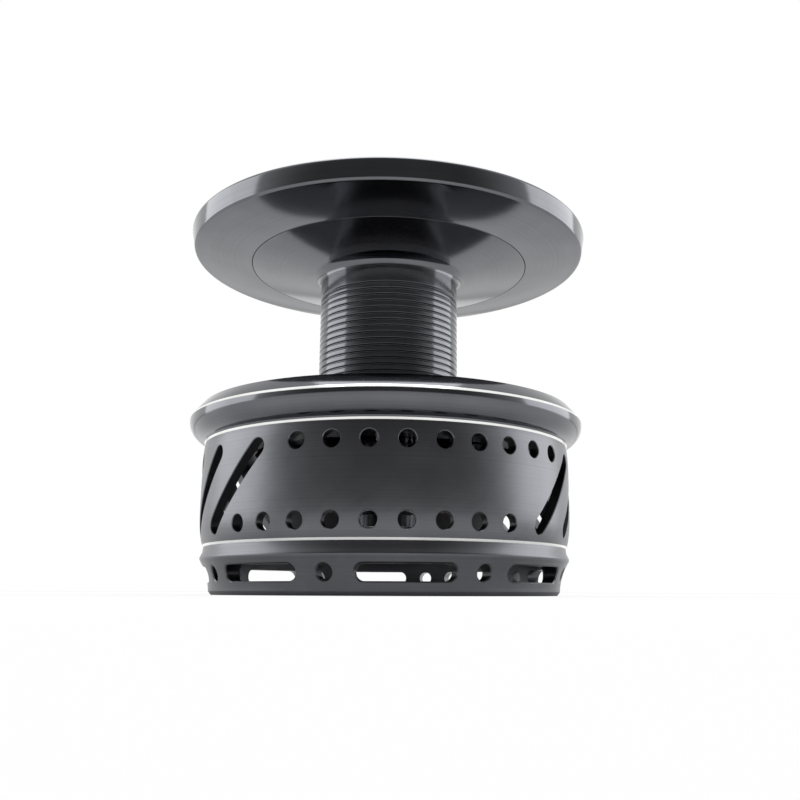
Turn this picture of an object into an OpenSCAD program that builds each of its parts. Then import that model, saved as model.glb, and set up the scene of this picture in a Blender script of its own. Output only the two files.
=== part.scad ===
// Spare line spool of a big-game spinning reel, standing on its skirt, front lip up.
// It turns about Z on two ball bearings round a steel sleeve that slides onto the reel's main shaft.

/* [Front lip] */
// Radius of the lip's outer edge
lip_r = 37.5; // [34:0.5:42]
// Height of the lip's outer band
lip_band_h = 3.1; // [2.8:0.1:5]
// How far the band leans in towards its lower edge
lip_band_lean = 0.5; // [0:0.01:1]
// Height of the bead that stands on the lip's front face
lip_bead_h = 0.7; // [0.3:0.1:1]
// Width of the bead
lip_bead_w = 4.2; // [3:0.1:5]
// Slope of the lip's underside, in degrees
lip_under_deg = 7.8; // [2:0.1:10]
// Width of the ring's ledge, from the body's collar out to the seam on the lip's underside
ledge_w = 3.9; // [3.7:0.1:6]
// Thickness of the ring's ledge over the body
ledge_h = 1.5; // [1.2:0.1:1.8]
// Radius of the recess for the drag knob
knob_recess_r = 21; // [18:0.5:21.5]
// Depth of the recess for the drag knob
knob_recess_h = 2.7; // [2:0.1:3]
// Width of the body's collar round the recess
recess_collar_w = 1.4; // [1:0.1:1.6]

/* [Arbor and rear flange] */
// Radius of the arbor that the line winds on
arbor_r = 13.1; // [13:0.1:17]
// Height of the line space at the edge of the flanges
line_space_h = 30.2; // [29:0.1:34]
// Radius of the fillets at both ends of the arbor
arbor_fillet_r = 2; // [1:0.1:2.5]
// Spacing of the rings turned into the arbor
groove_pitch = 1.168; // [1:0.001:1.6]
// Depth of the rings turned into the arbor
groove_depth = 0.3; // [0.1:0.05:0.4]
// Height of the plain collar above the rings
arbor_collar_h = 3.1; // [2:0.1:5]
// Radius of the rear flange's rim
rim_r = 35.95; // [35.5:0.05:37]
// Radius of the rounding under the rim
rim_round_r = 3.6; // [3:0.1:3.8]
// Height of the rim above its lower edge
rim_h = 6.9; // [6.6:0.1:8]
// Radius where the rim's front bevel ends
rim_bevel_r = 33.9; // [33:0.1:34.5]
// Height of the rim's front bevel
rim_bevel_h = 2.1; // [1.5:0.1:2.3]
// Slope of the rear flange's front face, in degrees
flange_deg = 2.5; // [0:0.1:4]
// Width of the bright turned edges
bright_edge = 0.38; // [0.2:0.01:0.6]
// Thickness of the rear flange above the weight-saving pocket
web_h = 3; // [2:0.1:4]
// Radius of the rear hub
hub_r = 13.3; // [13:0.1:14]
// Gap between the weight-saving pocket's wall and the skirt's flange under it
pocket_step = 0.3; // [0.2:0.1:0.6]

/* [Skirt] */
// Largest radius of the drum
drum_r = 33.35; // [33:0.05:34]
// Height of the drum between its bright edges
drum_h = 18; // [16.5:0.1:22]
// How far the drum narrows at its top
drum_top_in = 0.3; // [0:0.05:0.5]
// How far the drum narrows at its bottom
drum_bottom_in = 0.65; // [0:0.05:1]
// Thickness of the drum's wall
drum_wall = 1.75; // [1.2:0.05:2.2]
// Height of the lower ring
ring_h = 8.1; // [7.6:0.1:10]
// How far the lower ring's bead stands out past the foot
bead_reach = 1.75; // [1.6:0.05:2]
// Height of the bead's crest
bead_z = 6.15; // [5.9:0.05:6.4]
// How far the lower ring's foot stands in from the drum
foot_inset = 2.1; // [1.4:0.05:2.4]
// Thickness of the lower ring at its foot
base_wall = 1.9; // [1.4:0.1:2.4]
// Chamfer round the foot
foot_chamfer = 0.45; // [0.2:0.05:0.6]
// Inner radius of the skirt's mounting flange
skirt_flange_r = 24.3; // [24.1:0.1:26]
// Thickness of the mounting flange
skirt_flange_h = 2.6; // [2.2:0.1:3]
// Height of the spigot that centres the skirt in the rim
spigot_h = 1.5; // [1:0.1:1.8]

/* [Holes in the skirt] */
// Diameter of the round holes in the drum
drum_hole_d = 2.75; // [2:0.05:3.2]
// Width of the slanted slots in the drum
slot_w = 2.85; // [2:0.05:3.4]
// Round holes in each run, one run on each side
holes_per_run = 9; // [7:1:10]
// Slanted slots in each run, one run on each side
slots_per_run = 5; // [4:1:6]
// Spacing of the slanted slots, in steps of the round holes
slot_spacing = 1.85; // [1.75:0.05:1.95]
// Distance of the slots' upper ends below the upper row
slot_top_drop = 0.5; // [0:0.1:1.2]
// Distance of the upper row's centres below the drum's top
upper_row_inset = 2.85; // [2.6:0.05:4]
// Distance of the lower row's centres above the drum's lower edge
lower_row_inset = 2.97; // [2.6:0.05:4]
// Turn of the drum's holes about the axis, in degrees
drum_turn = 0.3; // [-5:0.1:5]
// Long windows in the lower ring
window_n = 8; // [6:1:8]
// Length of each window, in degrees
window_deg = 28.2; // [20:0.1:30]
// Height of the windows
window_h = 2.6; // [1.6:0.1:3]
// Height of the windows' centres above the foot
window_z = 3.45; // [3:0.05:3.6]
// Diameter of the round holes between the windows
ring_hole_d = 2.45; // [1.6:0.05:2.8]
// Turn of the lower ring's holes about the axis, in degrees
ring_turn = 5.7; // [0:0.1:40]

/* [Shaft, sleeve and bearings] */
// Diameter of the reel's main shaft
shaft_d = 8; // [7:0.1:8.4]
// Wall of the sleeve round the shaft
sleeve_wall = 2; // [1.8:0.05:2.1]
// Depth of the sleeve's rear end inside the skirt, above the foot
sleeve_rear_z = 12; // [11:0.1:12.4]
// Width of a bearing
bearing_w = 5; // [4.6:0.1:5.4]
// Thickness of each bearing ring under and over the balls
race_wall = 1.3; // [1.2:0.05:1.4]
// Radial space between the two bearing rings
ball_space = 1.9; // [1.8:0.05:2]
// Balls in each bearing
ball_n = 12; // [9:1:13]
// Thickness of a bearing shield
shield_h = 0.25; // [0.15:0.05:0.3]
// Thickness of the rings that hold the bearings and the gear in place
circlip_h = 1; // [0.8:0.1:1.1]

/* [Drag] */
// Radius of the drag cavity in the front of the arbor
drag_r = 11.2; // [11.1:0.05:11.6]
// Thickness of a carbon friction washer
carbon_h = 0.8; // [0.6:0.05:0.9]
// Thickness of a keyed steel washer
keyed_h = 1; // [0.8:0.05:1.1]
// Thickness of the middle eared washer
eared_h = 1; // [0.8:0.05:1.1]
// Thickness of the eared washer on top, which the drag knob presses
pressure_h = 1.3; // [1:0.05:1.5]
// Thickness of the floor under the drag washers
drag_floor_h = 1.4; // [1.2:0.1:2]
// Ears on each eared washer
ear_n = 4; // [2:1:6]
// Width of an ear
ear_w = 3; // [2:0.1:4]
// How far the ears reach past the cavity's wall
ear_reach = 0.9; // [0.5:0.05:1]
// Wire diameter of the snap ring over the drag washers
snap_wire_d = 1; // [0.8:0.05:1.1]

/* [Clicker] */
// Teeth on the click gear
click_teeth = 36; // [24:12:48]
// Radius of the click gear at the tips of its teeth
click_gear_r = 12; // [11:0.1:12.5]
// Depth of the click gear's teeth
click_tooth_h = 1; // [0.5:0.05:1.2]
// Thickness of the click gear and pawl
click_h = 2; // [1.6:0.1:2.2]
// Distance of the pawl's pivot from the axis, along the pawl
pawl_reach = 14; // [13.5:0.1:14.5]
// Width of the pawl's arm
pawl_w = 2.2; // [1.8:0.1:2.4]
// Radius of the pawl's eye
pawl_eye_r = 2.4; // [2.2:0.1:2.5]
// Diameter of the pawl's pivot
pawl_pin_d = 2.4; // [2:0.1:2.6]
// Thickness of the pawl's spring
spring_t = 0.3; // [0.2:0.05:0.4]

/* [Screws] */
// Screws in the lip ring
lip_screw_n = 6; // [4:1:8]
// Thread diameter of the lip ring's screws
lip_screw_d = 2; // [1.6:0.1:2.2]
// Screws in the skirt
skirt_screw_n = 6; // [4:1:8]
// Thread diameter of the skirt's screws
skirt_screw_d = 2; // [1.6:0.1:2.2]

/* [Hidden] */

$fn = 96;
// Overshoot of every cut past the face that it opens
cut = 0.5;
// The straight part of a slot is this much inside its round ends on each side, so that faces cross
hair = 0.02;
// Running gap between a turning piece and its neighbour
run_gap = 0.05;
// Gap round the spigot that centres the skirt in the rim
rebate_gap = 0.1;
// Gap between pieces that are pressed or screwed together
seat_gap = 0.01;
// Gap round a screw in a plain hole, and past its tip
screw_gap = 0.1;
// How much wider than its ring a groove for a circlip or snap ring is, on each side
groove_play = 0.03;
// How much thinner than its hole a screw's thread is, on the radius
thread_play = 0.02;

// Heights above the foot, from the bottom up
drum_z = ring_h;
rim_z = drum_z + drum_h;
rim_top_z = rim_z + rim_h;
lip_under_z = rim_top_z + line_space_h;
lip_top_z = lip_under_z + lip_band_h;
ledge_z = lip_top_z - ledge_h;
recess_z = lip_top_z - knob_recess_h;
rim_lead_h = 0.5;
rim_round_z = rim_z + rim_round_r + rim_lead_h;
spigot_top_z = rim_z + spigot_h;
skirt_flange_z = spigot_top_z - skirt_flange_h;

// Radii round the axis, from the shaft out
shaft_r = shaft_d / 2;
sleeve_r = shaft_r + sleeve_wall;
inner_race_r = sleeve_r + race_wall;
outer_race_r = inner_race_r + ball_space;
bearing_r = outer_race_r + race_wall;
ball_circle_r = (inner_race_r + outer_race_r) / 2;
track_depth = 0.24;
ball_r = ball_space / 2 + track_depth;
collar_r = knob_recess_r + recess_collar_w;
seam_r = collar_r + ledge_w;

// The drag stack hangs from the recess: snap ring, washers, then the floor and the front bearing
snap_depth = 1.5;
snap_z = recess_z - snap_depth;
stack_top_z = snap_z - snap_wire_d / 2 - run_gap;
pressure_z = stack_top_z - pressure_h;
carbon_4_z = pressure_z - run_gap - carbon_h;
keyed_2_z = carbon_4_z - run_gap - keyed_h;
carbon_3_z = keyed_2_z - run_gap - carbon_h;
eared_z = carbon_3_z - run_gap - eared_h;
carbon_2_z = eared_z - run_gap - carbon_h;
keyed_1_z = carbon_2_z - run_gap - keyed_h;
carbon_1_z = keyed_1_z - run_gap - carbon_h;
drag_floor_z = carbon_1_z - run_gap;
front_bearing_z = drag_floor_z - drag_floor_h - bearing_w;
sleeve_sink = 0.1;
sleeve_front_z = recess_z - sleeve_sink;
washer_hub_gap = 0.4;
washer_hole_r = inner_race_r + washer_hub_gap;
washer_wall_gap = 0.2;
washer_r = drag_r - washer_wall_gap;
ear_r = drag_r + ear_reach;
key_flat_step = 0.1;
key_flat = sleeve_r + key_flat_step;

// The clicker and the rear bearing, up from the sleeve's rear end
drive_slot_h = 1.8;
drive_slot_w = 2.4;
circlip_land = 0.45;
gear_circlip_z = sleeve_rear_z + drive_slot_h + circlip_land;
click_z = gear_circlip_z + circlip_h + run_gap;
gear_flat_wall = 1.2;
gear_flat = shaft_r + gear_flat_wall;
hub_clearance = 1;
hub_z = click_z + click_h + hub_clearance;
hub_land = 1.5;
bearing_circlip_z = hub_z + hub_land;
rear_bearing_z = bearing_circlip_z + circlip_h + run_gap;

// The pawl lies across the gear and meets a tooth's crest on the -Y side
crest_gap = 0.12;
nose_h = 0.75;
pawl_arm_y = -(click_gear_r + crest_gap + nose_h + pawl_w / 2);
pawl_drop = 1.6;
pawl_pivot_xy = [pawl_reach, pawl_arm_y - pawl_drop];
post_r = 2.8;
post_gap = 0.15;
post_z = click_z + click_h + post_gap;
spring_foot_x = 3.2;
spring_foot_drop = 7.2;
spring_foot_xy = [spring_foot_x, pawl_arm_y - spring_foot_drop];
spring_gap = 0.4;

// Angles are counted from the side that faces -Y towards +X
function bearing_of(a) = a - 90;
function arc(cx, cz, r, from, to, n) =
  [for (i = [0 : n]) let (a = from + (to - from) * i / n) [cx + r * cos(a), cz + r * sin(a)]];
// Arc of radius r that rounds the corner c between faces whose outward normals point at a_from and a_to
function rounded(c, a_from, a_to, r, n) =
  let (k = r / (1 + cos(a_from - a_to)))
  arc(c[0] - k * (cos(a_from) + cos(a_to)), c[1] - k * (sin(a_from) + sin(a_to)), r, a_from, a_to, n);
function lip_under_at(r) = lip_under_z - (lip_r - lip_band_lean - r) * tan(lip_under_deg);
function flange_at(r) = rim_top_z + (rim_bevel_r - r) * tan(flange_deg);

// ---- Shared shapes ----

// A ring with square corners
module tube(r_in, r_out, z, h) {
  translate([0, 0, z]) rotate_extrude() translate([r_in, 0]) square([r_out - r_in, h]);
}

// Repeats a shape round the axis, the first one at the given angle
module round_axis(n, first = 0) {
  for (i = [0 : n - 1]) rotate([0, 0, bearing_of(first + 360 * i / n)]) children();
}

// A drilling through a wall, along the radius at angle a, centred at height z
module radial_hole(a, z, d, r_from, r_to) {
  rotate([0, 0, bearing_of(a)]) translate([r_from, 0, z]) rotate([0, 90, 0])
    cylinder(d = d, h = r_to - r_from, $fn = 32);
}

// Hexagonal key socket of a screw, sunk from z = 0 downwards
module hex_socket(across, depth) {
  translate([0, 0, -depth]) cylinder(d = across / cos(30), h = depth + cut, $fn = 6);
}

// ---- Spool body ----

race_gap = 0.2;
cavity_chamfer = 0.4;
ear_gap = 0.1;
circlip_groove = 0.6;
pocket_r = skirt_flange_r - pocket_step;

// Half section of the arbor's outer surface, with its turned rings, from the rear fillet to the front one
arbor_low_z = flange_at(arbor_r + arbor_fillet_r) + arbor_fillet_r / cos(flange_deg);
arbor_high_z = lip_under_at(arbor_r + arbor_fillet_r) - arbor_fillet_r / cos(lip_under_deg);
groove_w = 0.46;
groove_top_z = arbor_high_z - arbor_collar_h;
groove_n = floor((groove_top_z - arbor_low_z - groove_w) / groove_pitch) + 1;
function groove(z) =
  [[arbor_r, z - groove_w / 2], [arbor_r - groove_depth, z], [arbor_r, z + groove_w / 2]];
arbor_side = [for (i = [groove_n - 1 : -1 : 0]) each groove(groove_top_z - i * groove_pitch)];

// Half section of the rim, from its lower edge up to the front bevel
rim_low_r = drum_r - drum_top_in;
rim_lead_w = 0.3;
rim_arc_r = rim_r - rim_round_r;
rim_arc_from = -acos(min(1, (rim_low_r + rim_lead_w - rim_arc_r) / rim_round_r));
// The bright edge between the rim and its bevel takes this share of its width in height and in radius
edge_h = bright_edge * 0.9;
edge_w = bright_edge * 0.66;
rim_side = concat(
  [[rim_low_r, rim_z]],
  arc(rim_arc_r, rim_round_z, rim_round_r, rim_arc_from, 0, 12),
  [[rim_r, rim_top_z - rim_bevel_h - edge_h], [rim_r - edge_w, rim_top_z - rim_bevel_h],
   [rim_bevel_r, rim_top_z]]);

module spool_body() {
  fillet_c = arbor_r + arbor_fillet_r;
  color([0.2, 0.2, 0.21]) difference() {
    union() {
      rotate_extrude() polygon(concat(
        [[bearing_r, hub_z], [hub_r, hub_z], [hub_r, rim_top_z - web_h], [pocket_r, rim_top_z - web_h],
         [pocket_r, spigot_top_z], [rim_rebate_r, spigot_top_z], [rim_rebate_r, rim_z]],
        rim_side,
        arc(fillet_c, arbor_low_z, arbor_fillet_r, 270 - flange_deg, 180, 8),
        arbor_side,
        arc(fillet_c, arbor_high_z, arbor_fillet_r, 180, 90 + lip_under_deg, 8),
        [[seam_r, lip_under_at(seam_r)], [seam_r, ledge_z],
         [collar_r, ledge_z], [collar_r, lip_top_z], [knob_recess_r, lip_top_z], [knob_recess_r, recess_z],
         [drag_r + cavity_chamfer, recess_z], [drag_r, recess_z - cavity_chamfer], [drag_r, drag_floor_z],
         [inner_race_r + race_gap, drag_floor_z],
         [inner_race_r + race_gap, drag_floor_z - drag_floor_h],
         [bearing_r, drag_floor_z - drag_floor_h]]));
      for (p = [pawl_pivot_xy, spring_foot_xy]) translate([p[0], p[1], post_z])
        cylinder(r = post_r, h = rim_top_z - web_h - post_z + cut, $fn = 48);
    }
    // Grooves for the bearing's circlip and the snap ring
    tube(bearing_r - cut, bearing_r + circlip_groove,
         bearing_circlip_z - groove_play, circlip_h + 2 * groove_play);
    tube(drag_r - cut, drag_r + snap_wire_d / 2,
         snap_z - snap_wire_d / 2 - groove_play, snap_wire_d + 2 * groove_play);
    // Slots for the washers' ears
    round_axis(ear_n) translate([drag_r - cut, -ear_w / 2 - ear_gap, eared_z - 2 * ear_gap])
      cube([ear_reach + ear_gap + cut, ear_w + 2 * ear_gap, recess_z - eared_z + cut]);
    // Tapped holes for the screws
    round_axis(lip_screw_n, 30) translate([lip_screw_circle_r, 0, lip_screw_tip_z])
      cylinder(d = lip_screw_d, h = ledge_h + lip_screw_l, $fn = 24);
    round_axis(skirt_screw_n) translate([skirt_screw_circle_r, 0, spigot_top_z - cut])
      cylinder(d = skirt_screw_d, h = skirt_thread_l + cut, $fn = 24);
    for (p = [pawl_pivot_xy, spring_foot_xy]) translate([p[0], p[1], post_z - cut])
      cylinder(d = post_thread_d, h = post_thread_l + cut, $fn = 24);
  }
}

// ---- Lip ring and its screws ----

lip_screw_circle_r = (collar_r + seam_r) / 2;
lip_screw_head_r = lip_screw_d * 0.8;
lip_screw_head_h = lip_screw_head_r * 0.6;
lip_screw_l = 4;
lip_screw_sink = 0.1;
lip_screw_z = lip_top_z - lip_screw_sink;
lip_screw_tip_z = lip_screw_z - lip_screw_l;
head_play = 0.03;
lip_edge_round = 0.6;
lip_lap = 0.1;

module lip_ring() {
  ring_in = collar_r + seat_gap;
  seam_in = seam_r + lip_lap;
  color([0.22, 0.22, 0.23]) difference() {
    rotate_extrude() polygon(concat(
      [[ring_in, ledge_z + seat_gap], [seam_in, ledge_z + seat_gap], [seam_in, lip_under_at(seam_in)]],
      rounded([lip_r - lip_band_lean, lip_under_z], lip_under_deg - 90,
              -atan(lip_band_lean / lip_band_h), lip_edge_round, 5),
      arc(lip_r - lip_bead_h, lip_top_z, lip_bead_h, 0, 90, 6),
      [[lip_r - lip_bead_w, lip_top_z + lip_bead_h],
       [lip_r - lip_bead_w - lip_bead_h, lip_top_z], [ring_in, lip_top_z]]));
    round_axis(lip_screw_n, 30) translate([lip_screw_circle_r, 0, lip_screw_z]) {
      translate([0, 0, -ledge_h]) cylinder(r = lip_screw_d / 2 + screw_gap, h = ledge_h, $fn = 24);
      translate([0, 0, -lip_screw_head_h])
        cylinder(r1 = lip_screw_d / 2, r2 = lip_screw_head_r + head_play, h = lip_screw_head_h, $fn = 32);
      cylinder(r = lip_screw_head_r + head_play, h = cut, $fn = 32);
    }
  }
}

module lip_screws() {
  thread_r = lip_screw_d / 2 - thread_play;
  tip = -lip_screw_l + screw_gap;
  color([0.55, 0.55, 0.56]) round_axis(lip_screw_n, 30) translate([lip_screw_circle_r, 0, lip_screw_z])
    difference() {
      rotate_extrude() polygon([[0, 0], [lip_screw_head_r, 0], [thread_r, -lip_screw_head_h],
                                [thread_r, tip], [0, tip]]);
      hex_socket(lip_screw_d * 0.6, lip_screw_d * 0.4);
    }
}

// ---- Skirt ----

drum_low_r = drum_r - drum_bottom_in;
base_r = drum_r - foot_inset;
bead_r = base_r + bead_reach;
bead_nose_r = 0.7;
bead_nose_deg = 22;
// The cove under the bead is an arc that stands upright at the foot and runs into the bead's nose
cove_and_nose_r = (bead_reach * bead_reach + bead_z * bead_z) / (2 * bead_reach);
cove_r = cove_and_nose_r - bead_nose_r;
cove_end = 180 - asin(bead_z / cove_and_nose_r);
cove_start = 180 - asin(foot_chamfer * 1.4 / cove_r);
// The neck above the bead leans out a little towards its lower edge
neck_r = drum_low_r - bright_edge * 0.6;
neck_h = 0.9;
neck_lean = 0.1;
// The drum is widest here, and narrows by the crown at the two heights next to it
crown = 0.03;
crown_low_h = 5.5;
crown_mid_h = 12;
crown_top_h = 3;

// Half section of the skirt's outer face, from the foot to the drum's top
skirt_outside = concat(
  [[base_r - foot_chamfer, 0]],
  arc(base_r + cove_r, 0, cove_r, cove_start, cove_end, 8),
  arc(bead_r - bead_nose_r, bead_z, bead_nose_r, cove_end - 180, bead_nose_deg, 6),
  [[neck_r + neck_lean, ring_h - neck_h], [neck_r, ring_h], [drum_low_r, ring_h + bright_edge],
   [drum_r - crown, drum_z + crown_low_h], [drum_r, drum_z + crown_mid_h],
   [drum_r - crown, rim_z - crown_top_h], [rim_low_r, rim_z]]);

drum_in_r = drum_r - drum_wall;
base_in_r = base_r - base_wall;
rebate_w = 0.65;
rim_rebate_r = rim_low_r - rebate_w;
rebate_r = rim_rebate_r - rebate_gap;
flange_corner = 1;
foot_in_chamfer = 0.4;
// The inside narrows to the lower ring just below the lowest cut in the drum
lowest_cut_margin = 0.7;
drum_in_low_z = drum_z + lower_row_inset - max(slot_w, drum_hole_d) / 2 - lowest_cut_margin;

module skirt() {
  color([0.21, 0.21, 0.22]) difference() {
    rotate_extrude() polygon(concat(
      skirt_outside,
      [[rebate_r, rim_z], [rebate_r, spigot_top_z], [skirt_flange_r, spigot_top_z],
       [skirt_flange_r, skirt_flange_z], [drum_in_r - flange_corner, skirt_flange_z],
       [drum_in_r, skirt_flange_z - flange_corner], [drum_in_r, drum_in_low_z],
       [base_in_r, drum_in_low_z - drum_in_r + base_in_r], [base_in_r, foot_in_chamfer],
       [base_in_r + foot_in_chamfer, 0]]));
    drum_holes();
    ring_holes();
    // Plain holes for the screws, with a spot face for each head
    round_axis(skirt_screw_n) translate([skirt_screw_circle_r, 0, skirt_flange_z]) {
      translate([0, 0, -cut])
        cylinder(r = skirt_screw_d / 2 + screw_gap, h = skirt_flange_h + 2 * cut, $fn = 24);
      translate([0, 0, -skirt_screw_head_h])
        cylinder(r = skirt_screw_head_r + screw_gap, h = skirt_screw_head_h);
    }
  }
}

// Rows of holes and slanted slots. Each half turn has one run of holes and one run of slots,
// and the lower row lags the upper one by the slots' lean of two steps.
hole_step = 180 / (holes_per_run + 2 * slots_per_run - 1);
upper_row_z = rim_z - upper_row_inset;
lower_row_z = drum_z + lower_row_inset;
// The first hole lies this many steps before the -Y side
first_hole = drum_turn - 2.5 * hole_step;
slot_lean = 2 * hole_step;
slot_step = slot_spacing * hole_step;
// What the two runs leave of a half turn parts them on both sides
slot_run_gap = (180 - (holes_per_run - 1) * hole_step - (slots_per_run - 1) * slot_step) / 2;
first_slot = first_hole + (holes_per_run - 1) * hole_step + slot_run_gap - slot_lean / 2;

module drum_holes() {
  for (half = [0, 180]) {
    for (i = [0 : holes_per_run - 1]) {
      a = half + first_hole + i * hole_step;
      radial_hole(a, upper_row_z, drum_hole_d, drum_in_r - 2 * cut, drum_r + cut);
      radial_hole(a - slot_lean, lower_row_z, drum_hole_d, drum_in_r - 2 * cut, drum_r + cut);
    }
    for (i = [0 : slots_per_run - 1])
      slanted_slot(half + first_slot + i * slot_step);
  }
}

// One slot: it leans half the lean to each side of angle a, from the lower row to below the upper
module slanted_slot(a) {
  across = drum_r * sin(slot_lean / 2);
  top_z = upper_row_z - slot_top_drop;
  up = (top_z - lower_row_z) / 2;
  middle_z = (top_z + lower_row_z) / 2;
  // The ends lie nearer the axis than the middle, because the slot's walls are parallel
  inside = drum_in_r * (1 - cos(slot_lean / 2)) + 4 * cut;
  deep = inside + drum_wall + cut;
  rotate([0, 0, bearing_of(a)]) translate([drum_in_r - inside, 0, middle_z]) {
    for (side = [-1, 1]) translate([0, side * across, side * up]) rotate([0, 90, 0])
      cylinder(d = slot_w, h = deep, $fn = 32);
    rotate([atan2(up, across), 0, 0]) translate([0, -norm([across, up]), -slot_w / 2 + hair])
      cube([deep, 2 * norm([across, up]), slot_w - 2 * hair]);
  }
}

module ring_holes() {
  step = 360 / window_n;
  end_deg = window_deg / 2 - asin(window_h / 2 / base_r);
  for (i = [0 : window_n - 1]) {
    middle = ring_turn + i * step;
    rotate([0, 0, bearing_of(middle) - end_deg]) rotate_extrude(angle = 2 * end_deg)
      translate([base_in_r - cut, window_z - window_h / 2 + hair])
      square([bead_r - base_in_r + 2 * cut, window_h - 2 * hair]);
    for (end = [-end_deg, end_deg])
      radial_hole(middle + end, window_z, window_h, base_in_r - 2 * cut, bead_r + cut);
    radial_hole(middle + step / 2, window_z, ring_hole_d, base_in_r - 2 * cut, bead_r + cut);
  }
}

skirt_screw_head_r = skirt_screw_d * 0.9;
skirt_screw_head_h = skirt_screw_d * 0.7;
skirt_screw_circle_r = (skirt_flange_r + drum_in_r - flange_corner) / 2;
skirt_thread_l = 2.4;

module skirt_screws() {
  thread_r = skirt_screw_d / 2 - thread_play;
  edge = skirt_screw_d / 6;
  top = skirt_flange_h + skirt_thread_l - screw_gap;
  color([0.6, 0.6, 0.61]) round_axis(skirt_screw_n) translate([skirt_screw_circle_r, 0, skirt_flange_z])
    difference() {
      rotate_extrude() polygon([[0, -skirt_screw_head_h], [skirt_screw_head_r - edge, -skirt_screw_head_h],
                                [skirt_screw_head_r, -skirt_screw_head_h + edge], [skirt_screw_head_r, 0],
                                [thread_r, 0], [thread_r, top], [0, top]]);
      translate([0, 0, -skirt_screw_head_h]) rotate([180, 0, 0])
        hex_socket(skirt_screw_d * 0.7, skirt_screw_d * 0.4);
    }
}

// ---- Ball bearings ----

race_edge = 0.2;
track_play = 0.04;
shield_inset = 0.08;
shield_gap = 0.25;
cage_gap = 0.3;
cage_end_gap = 0.25;
track_r = ball_r + track_play;
shield_in_r = inner_race_r + shield_gap;
shield_out_r = outer_race_r + shield_gap;

module bearing_outer(z) {
  translate([0, 0, z]) difference() {
    rotate_extrude() polygon([
      [outer_race_r, 0], [bearing_r - race_edge, 0], [bearing_r - seat_gap, race_edge],
      [bearing_r - seat_gap, bearing_w - race_edge], [bearing_r - race_edge, bearing_w],
      [outer_race_r, bearing_w]]);
    ball_track();
    for (end_z = [shield_inset, bearing_w - shield_inset - shield_h])
      tube(outer_race_r - cut, shield_out_r + seat_gap, end_z, shield_h);
  }
}

module bearing_inner(z) {
  translate([0, 0, z]) difference() {
    tube(sleeve_r + seat_gap, inner_race_r, 0, bearing_w);
    ball_track();
  }
}

module ball_track() {
  translate([0, 0, bearing_w / 2]) rotate_extrude() translate([ball_circle_r, 0])
    circle(r = track_r, $fn = 48);
}

module bearing_balls(z) {
  translate([0, 0, z + bearing_w / 2]) round_axis(ball_n) translate([ball_circle_r, 0, 0])
    sphere(r = ball_r, $fn = 32);
}

// Machined cage with a radial pocket for each ball
module bearing_cage(z) {
  cage_h = bearing_w - 2 * (shield_h + shield_inset + cage_end_gap);
  translate([0, 0, z + bearing_w / 2]) difference() {
    tube(inner_race_r + cage_gap, outer_race_r - cage_gap, -cage_h / 2, cage_h);
    for (i = [0 : ball_n - 1])
      radial_hole(360 * i / ball_n, 0, 2 * (ball_r + run_gap), inner_race_r - cut, outer_race_r + cut);
  }
}

module bearing_shields(z) {
  for (end_z = [shield_inset, bearing_w - shield_inset - shield_h])
    tube(shield_in_r, shield_out_r, z + end_z, shield_h);
}

module front_bearing_outer() { color([0.72, 0.72, 0.73]) bearing_outer(front_bearing_z); }
module front_bearing_inner() { color([0.72, 0.72, 0.73]) bearing_inner(front_bearing_z); }
module front_bearing_cage() { color([0.6, 0.5, 0.3]) bearing_cage(front_bearing_z); }
module front_bearing_balls() { color([0.8, 0.8, 0.82]) bearing_balls(front_bearing_z); }
module front_bearing_shields() { color([0.5, 0.5, 0.52]) bearing_shields(front_bearing_z); }
module rear_bearing_outer() { color([0.72, 0.72, 0.73]) bearing_outer(rear_bearing_z); }
module rear_bearing_inner() { color([0.72, 0.72, 0.73]) bearing_inner(rear_bearing_z); }
module rear_bearing_cage() { color([0.6, 0.5, 0.3]) bearing_cage(rear_bearing_z); }
module rear_bearing_balls() { color([0.8, 0.8, 0.82]) bearing_balls(rear_bearing_z); }
module rear_bearing_shields() { color([0.5, 0.5, 0.52]) bearing_shields(rear_bearing_z); }

module bearing_spacer() {
  bottom_z = rear_bearing_z + bearing_w;
  color([0.65, 0.65, 0.66])
    tube(outer_race_r + cage_gap, bearing_r - run_gap, bottom_z, front_bearing_z - bottom_z);
}

// Internal circlip: a sprung ring with a gap and an eye at each side of it
module bearing_circlip() {
  ring_r = bearing_r + circlip_groove - run_gap;
  ring_w = 1.5;
  eye_r = 1.15;
  eye_hole_r = 0.5;
  eye_circle_r = bearing_r - eye_r - 0.15;
  eye_deg = 22;
  color([0.3, 0.3, 0.32]) translate([0, 0, bearing_circlip_z]) difference() {
    union() {
      rotate([0, 0, 90 + eye_deg]) rotate_extrude(angle = 360 - 2 * eye_deg)
        translate([ring_r - ring_w, 0]) square([ring_w, circlip_h]);
      for (side = [-1, 1]) rotate([0, 0, 90 + side * eye_deg]) translate([eye_circle_r, 0, 0])
        cylinder(r = eye_r, h = circlip_h, $fn = 32);
    }
    for (side = [-1, 1]) rotate([0, 0, 90 + side * eye_deg]) translate([eye_circle_r, 0, -cut])
      cylinder(r = eye_hole_r, h = circlip_h + 2 * cut, $fn = 24);
  }
}

// ---- Drag washers ----

module carbon_washer(z) { color([0.12, 0.12, 0.13]) tube(washer_hole_r, washer_r, z, carbon_h); }

// Hole with two flats that fits over the sleeve's front hub
module keyed_hole(h, r, flat) {
  intersection() {
    translate([0, 0, -cut]) cylinder(r = r, h = h + 2 * cut);
    translate([-flat, -r - cut, -2 * cut]) cube([2 * flat, 2 * (r + cut), h + 4 * cut]);
  }
}

module keyed_washer(z) {
  color([0.7, 0.7, 0.71]) translate([0, 0, z]) difference() {
    cylinder(r = washer_r, h = keyed_h);
    keyed_hole(keyed_h, inner_race_r + run_gap, key_flat + run_gap);
  }
}

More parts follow.
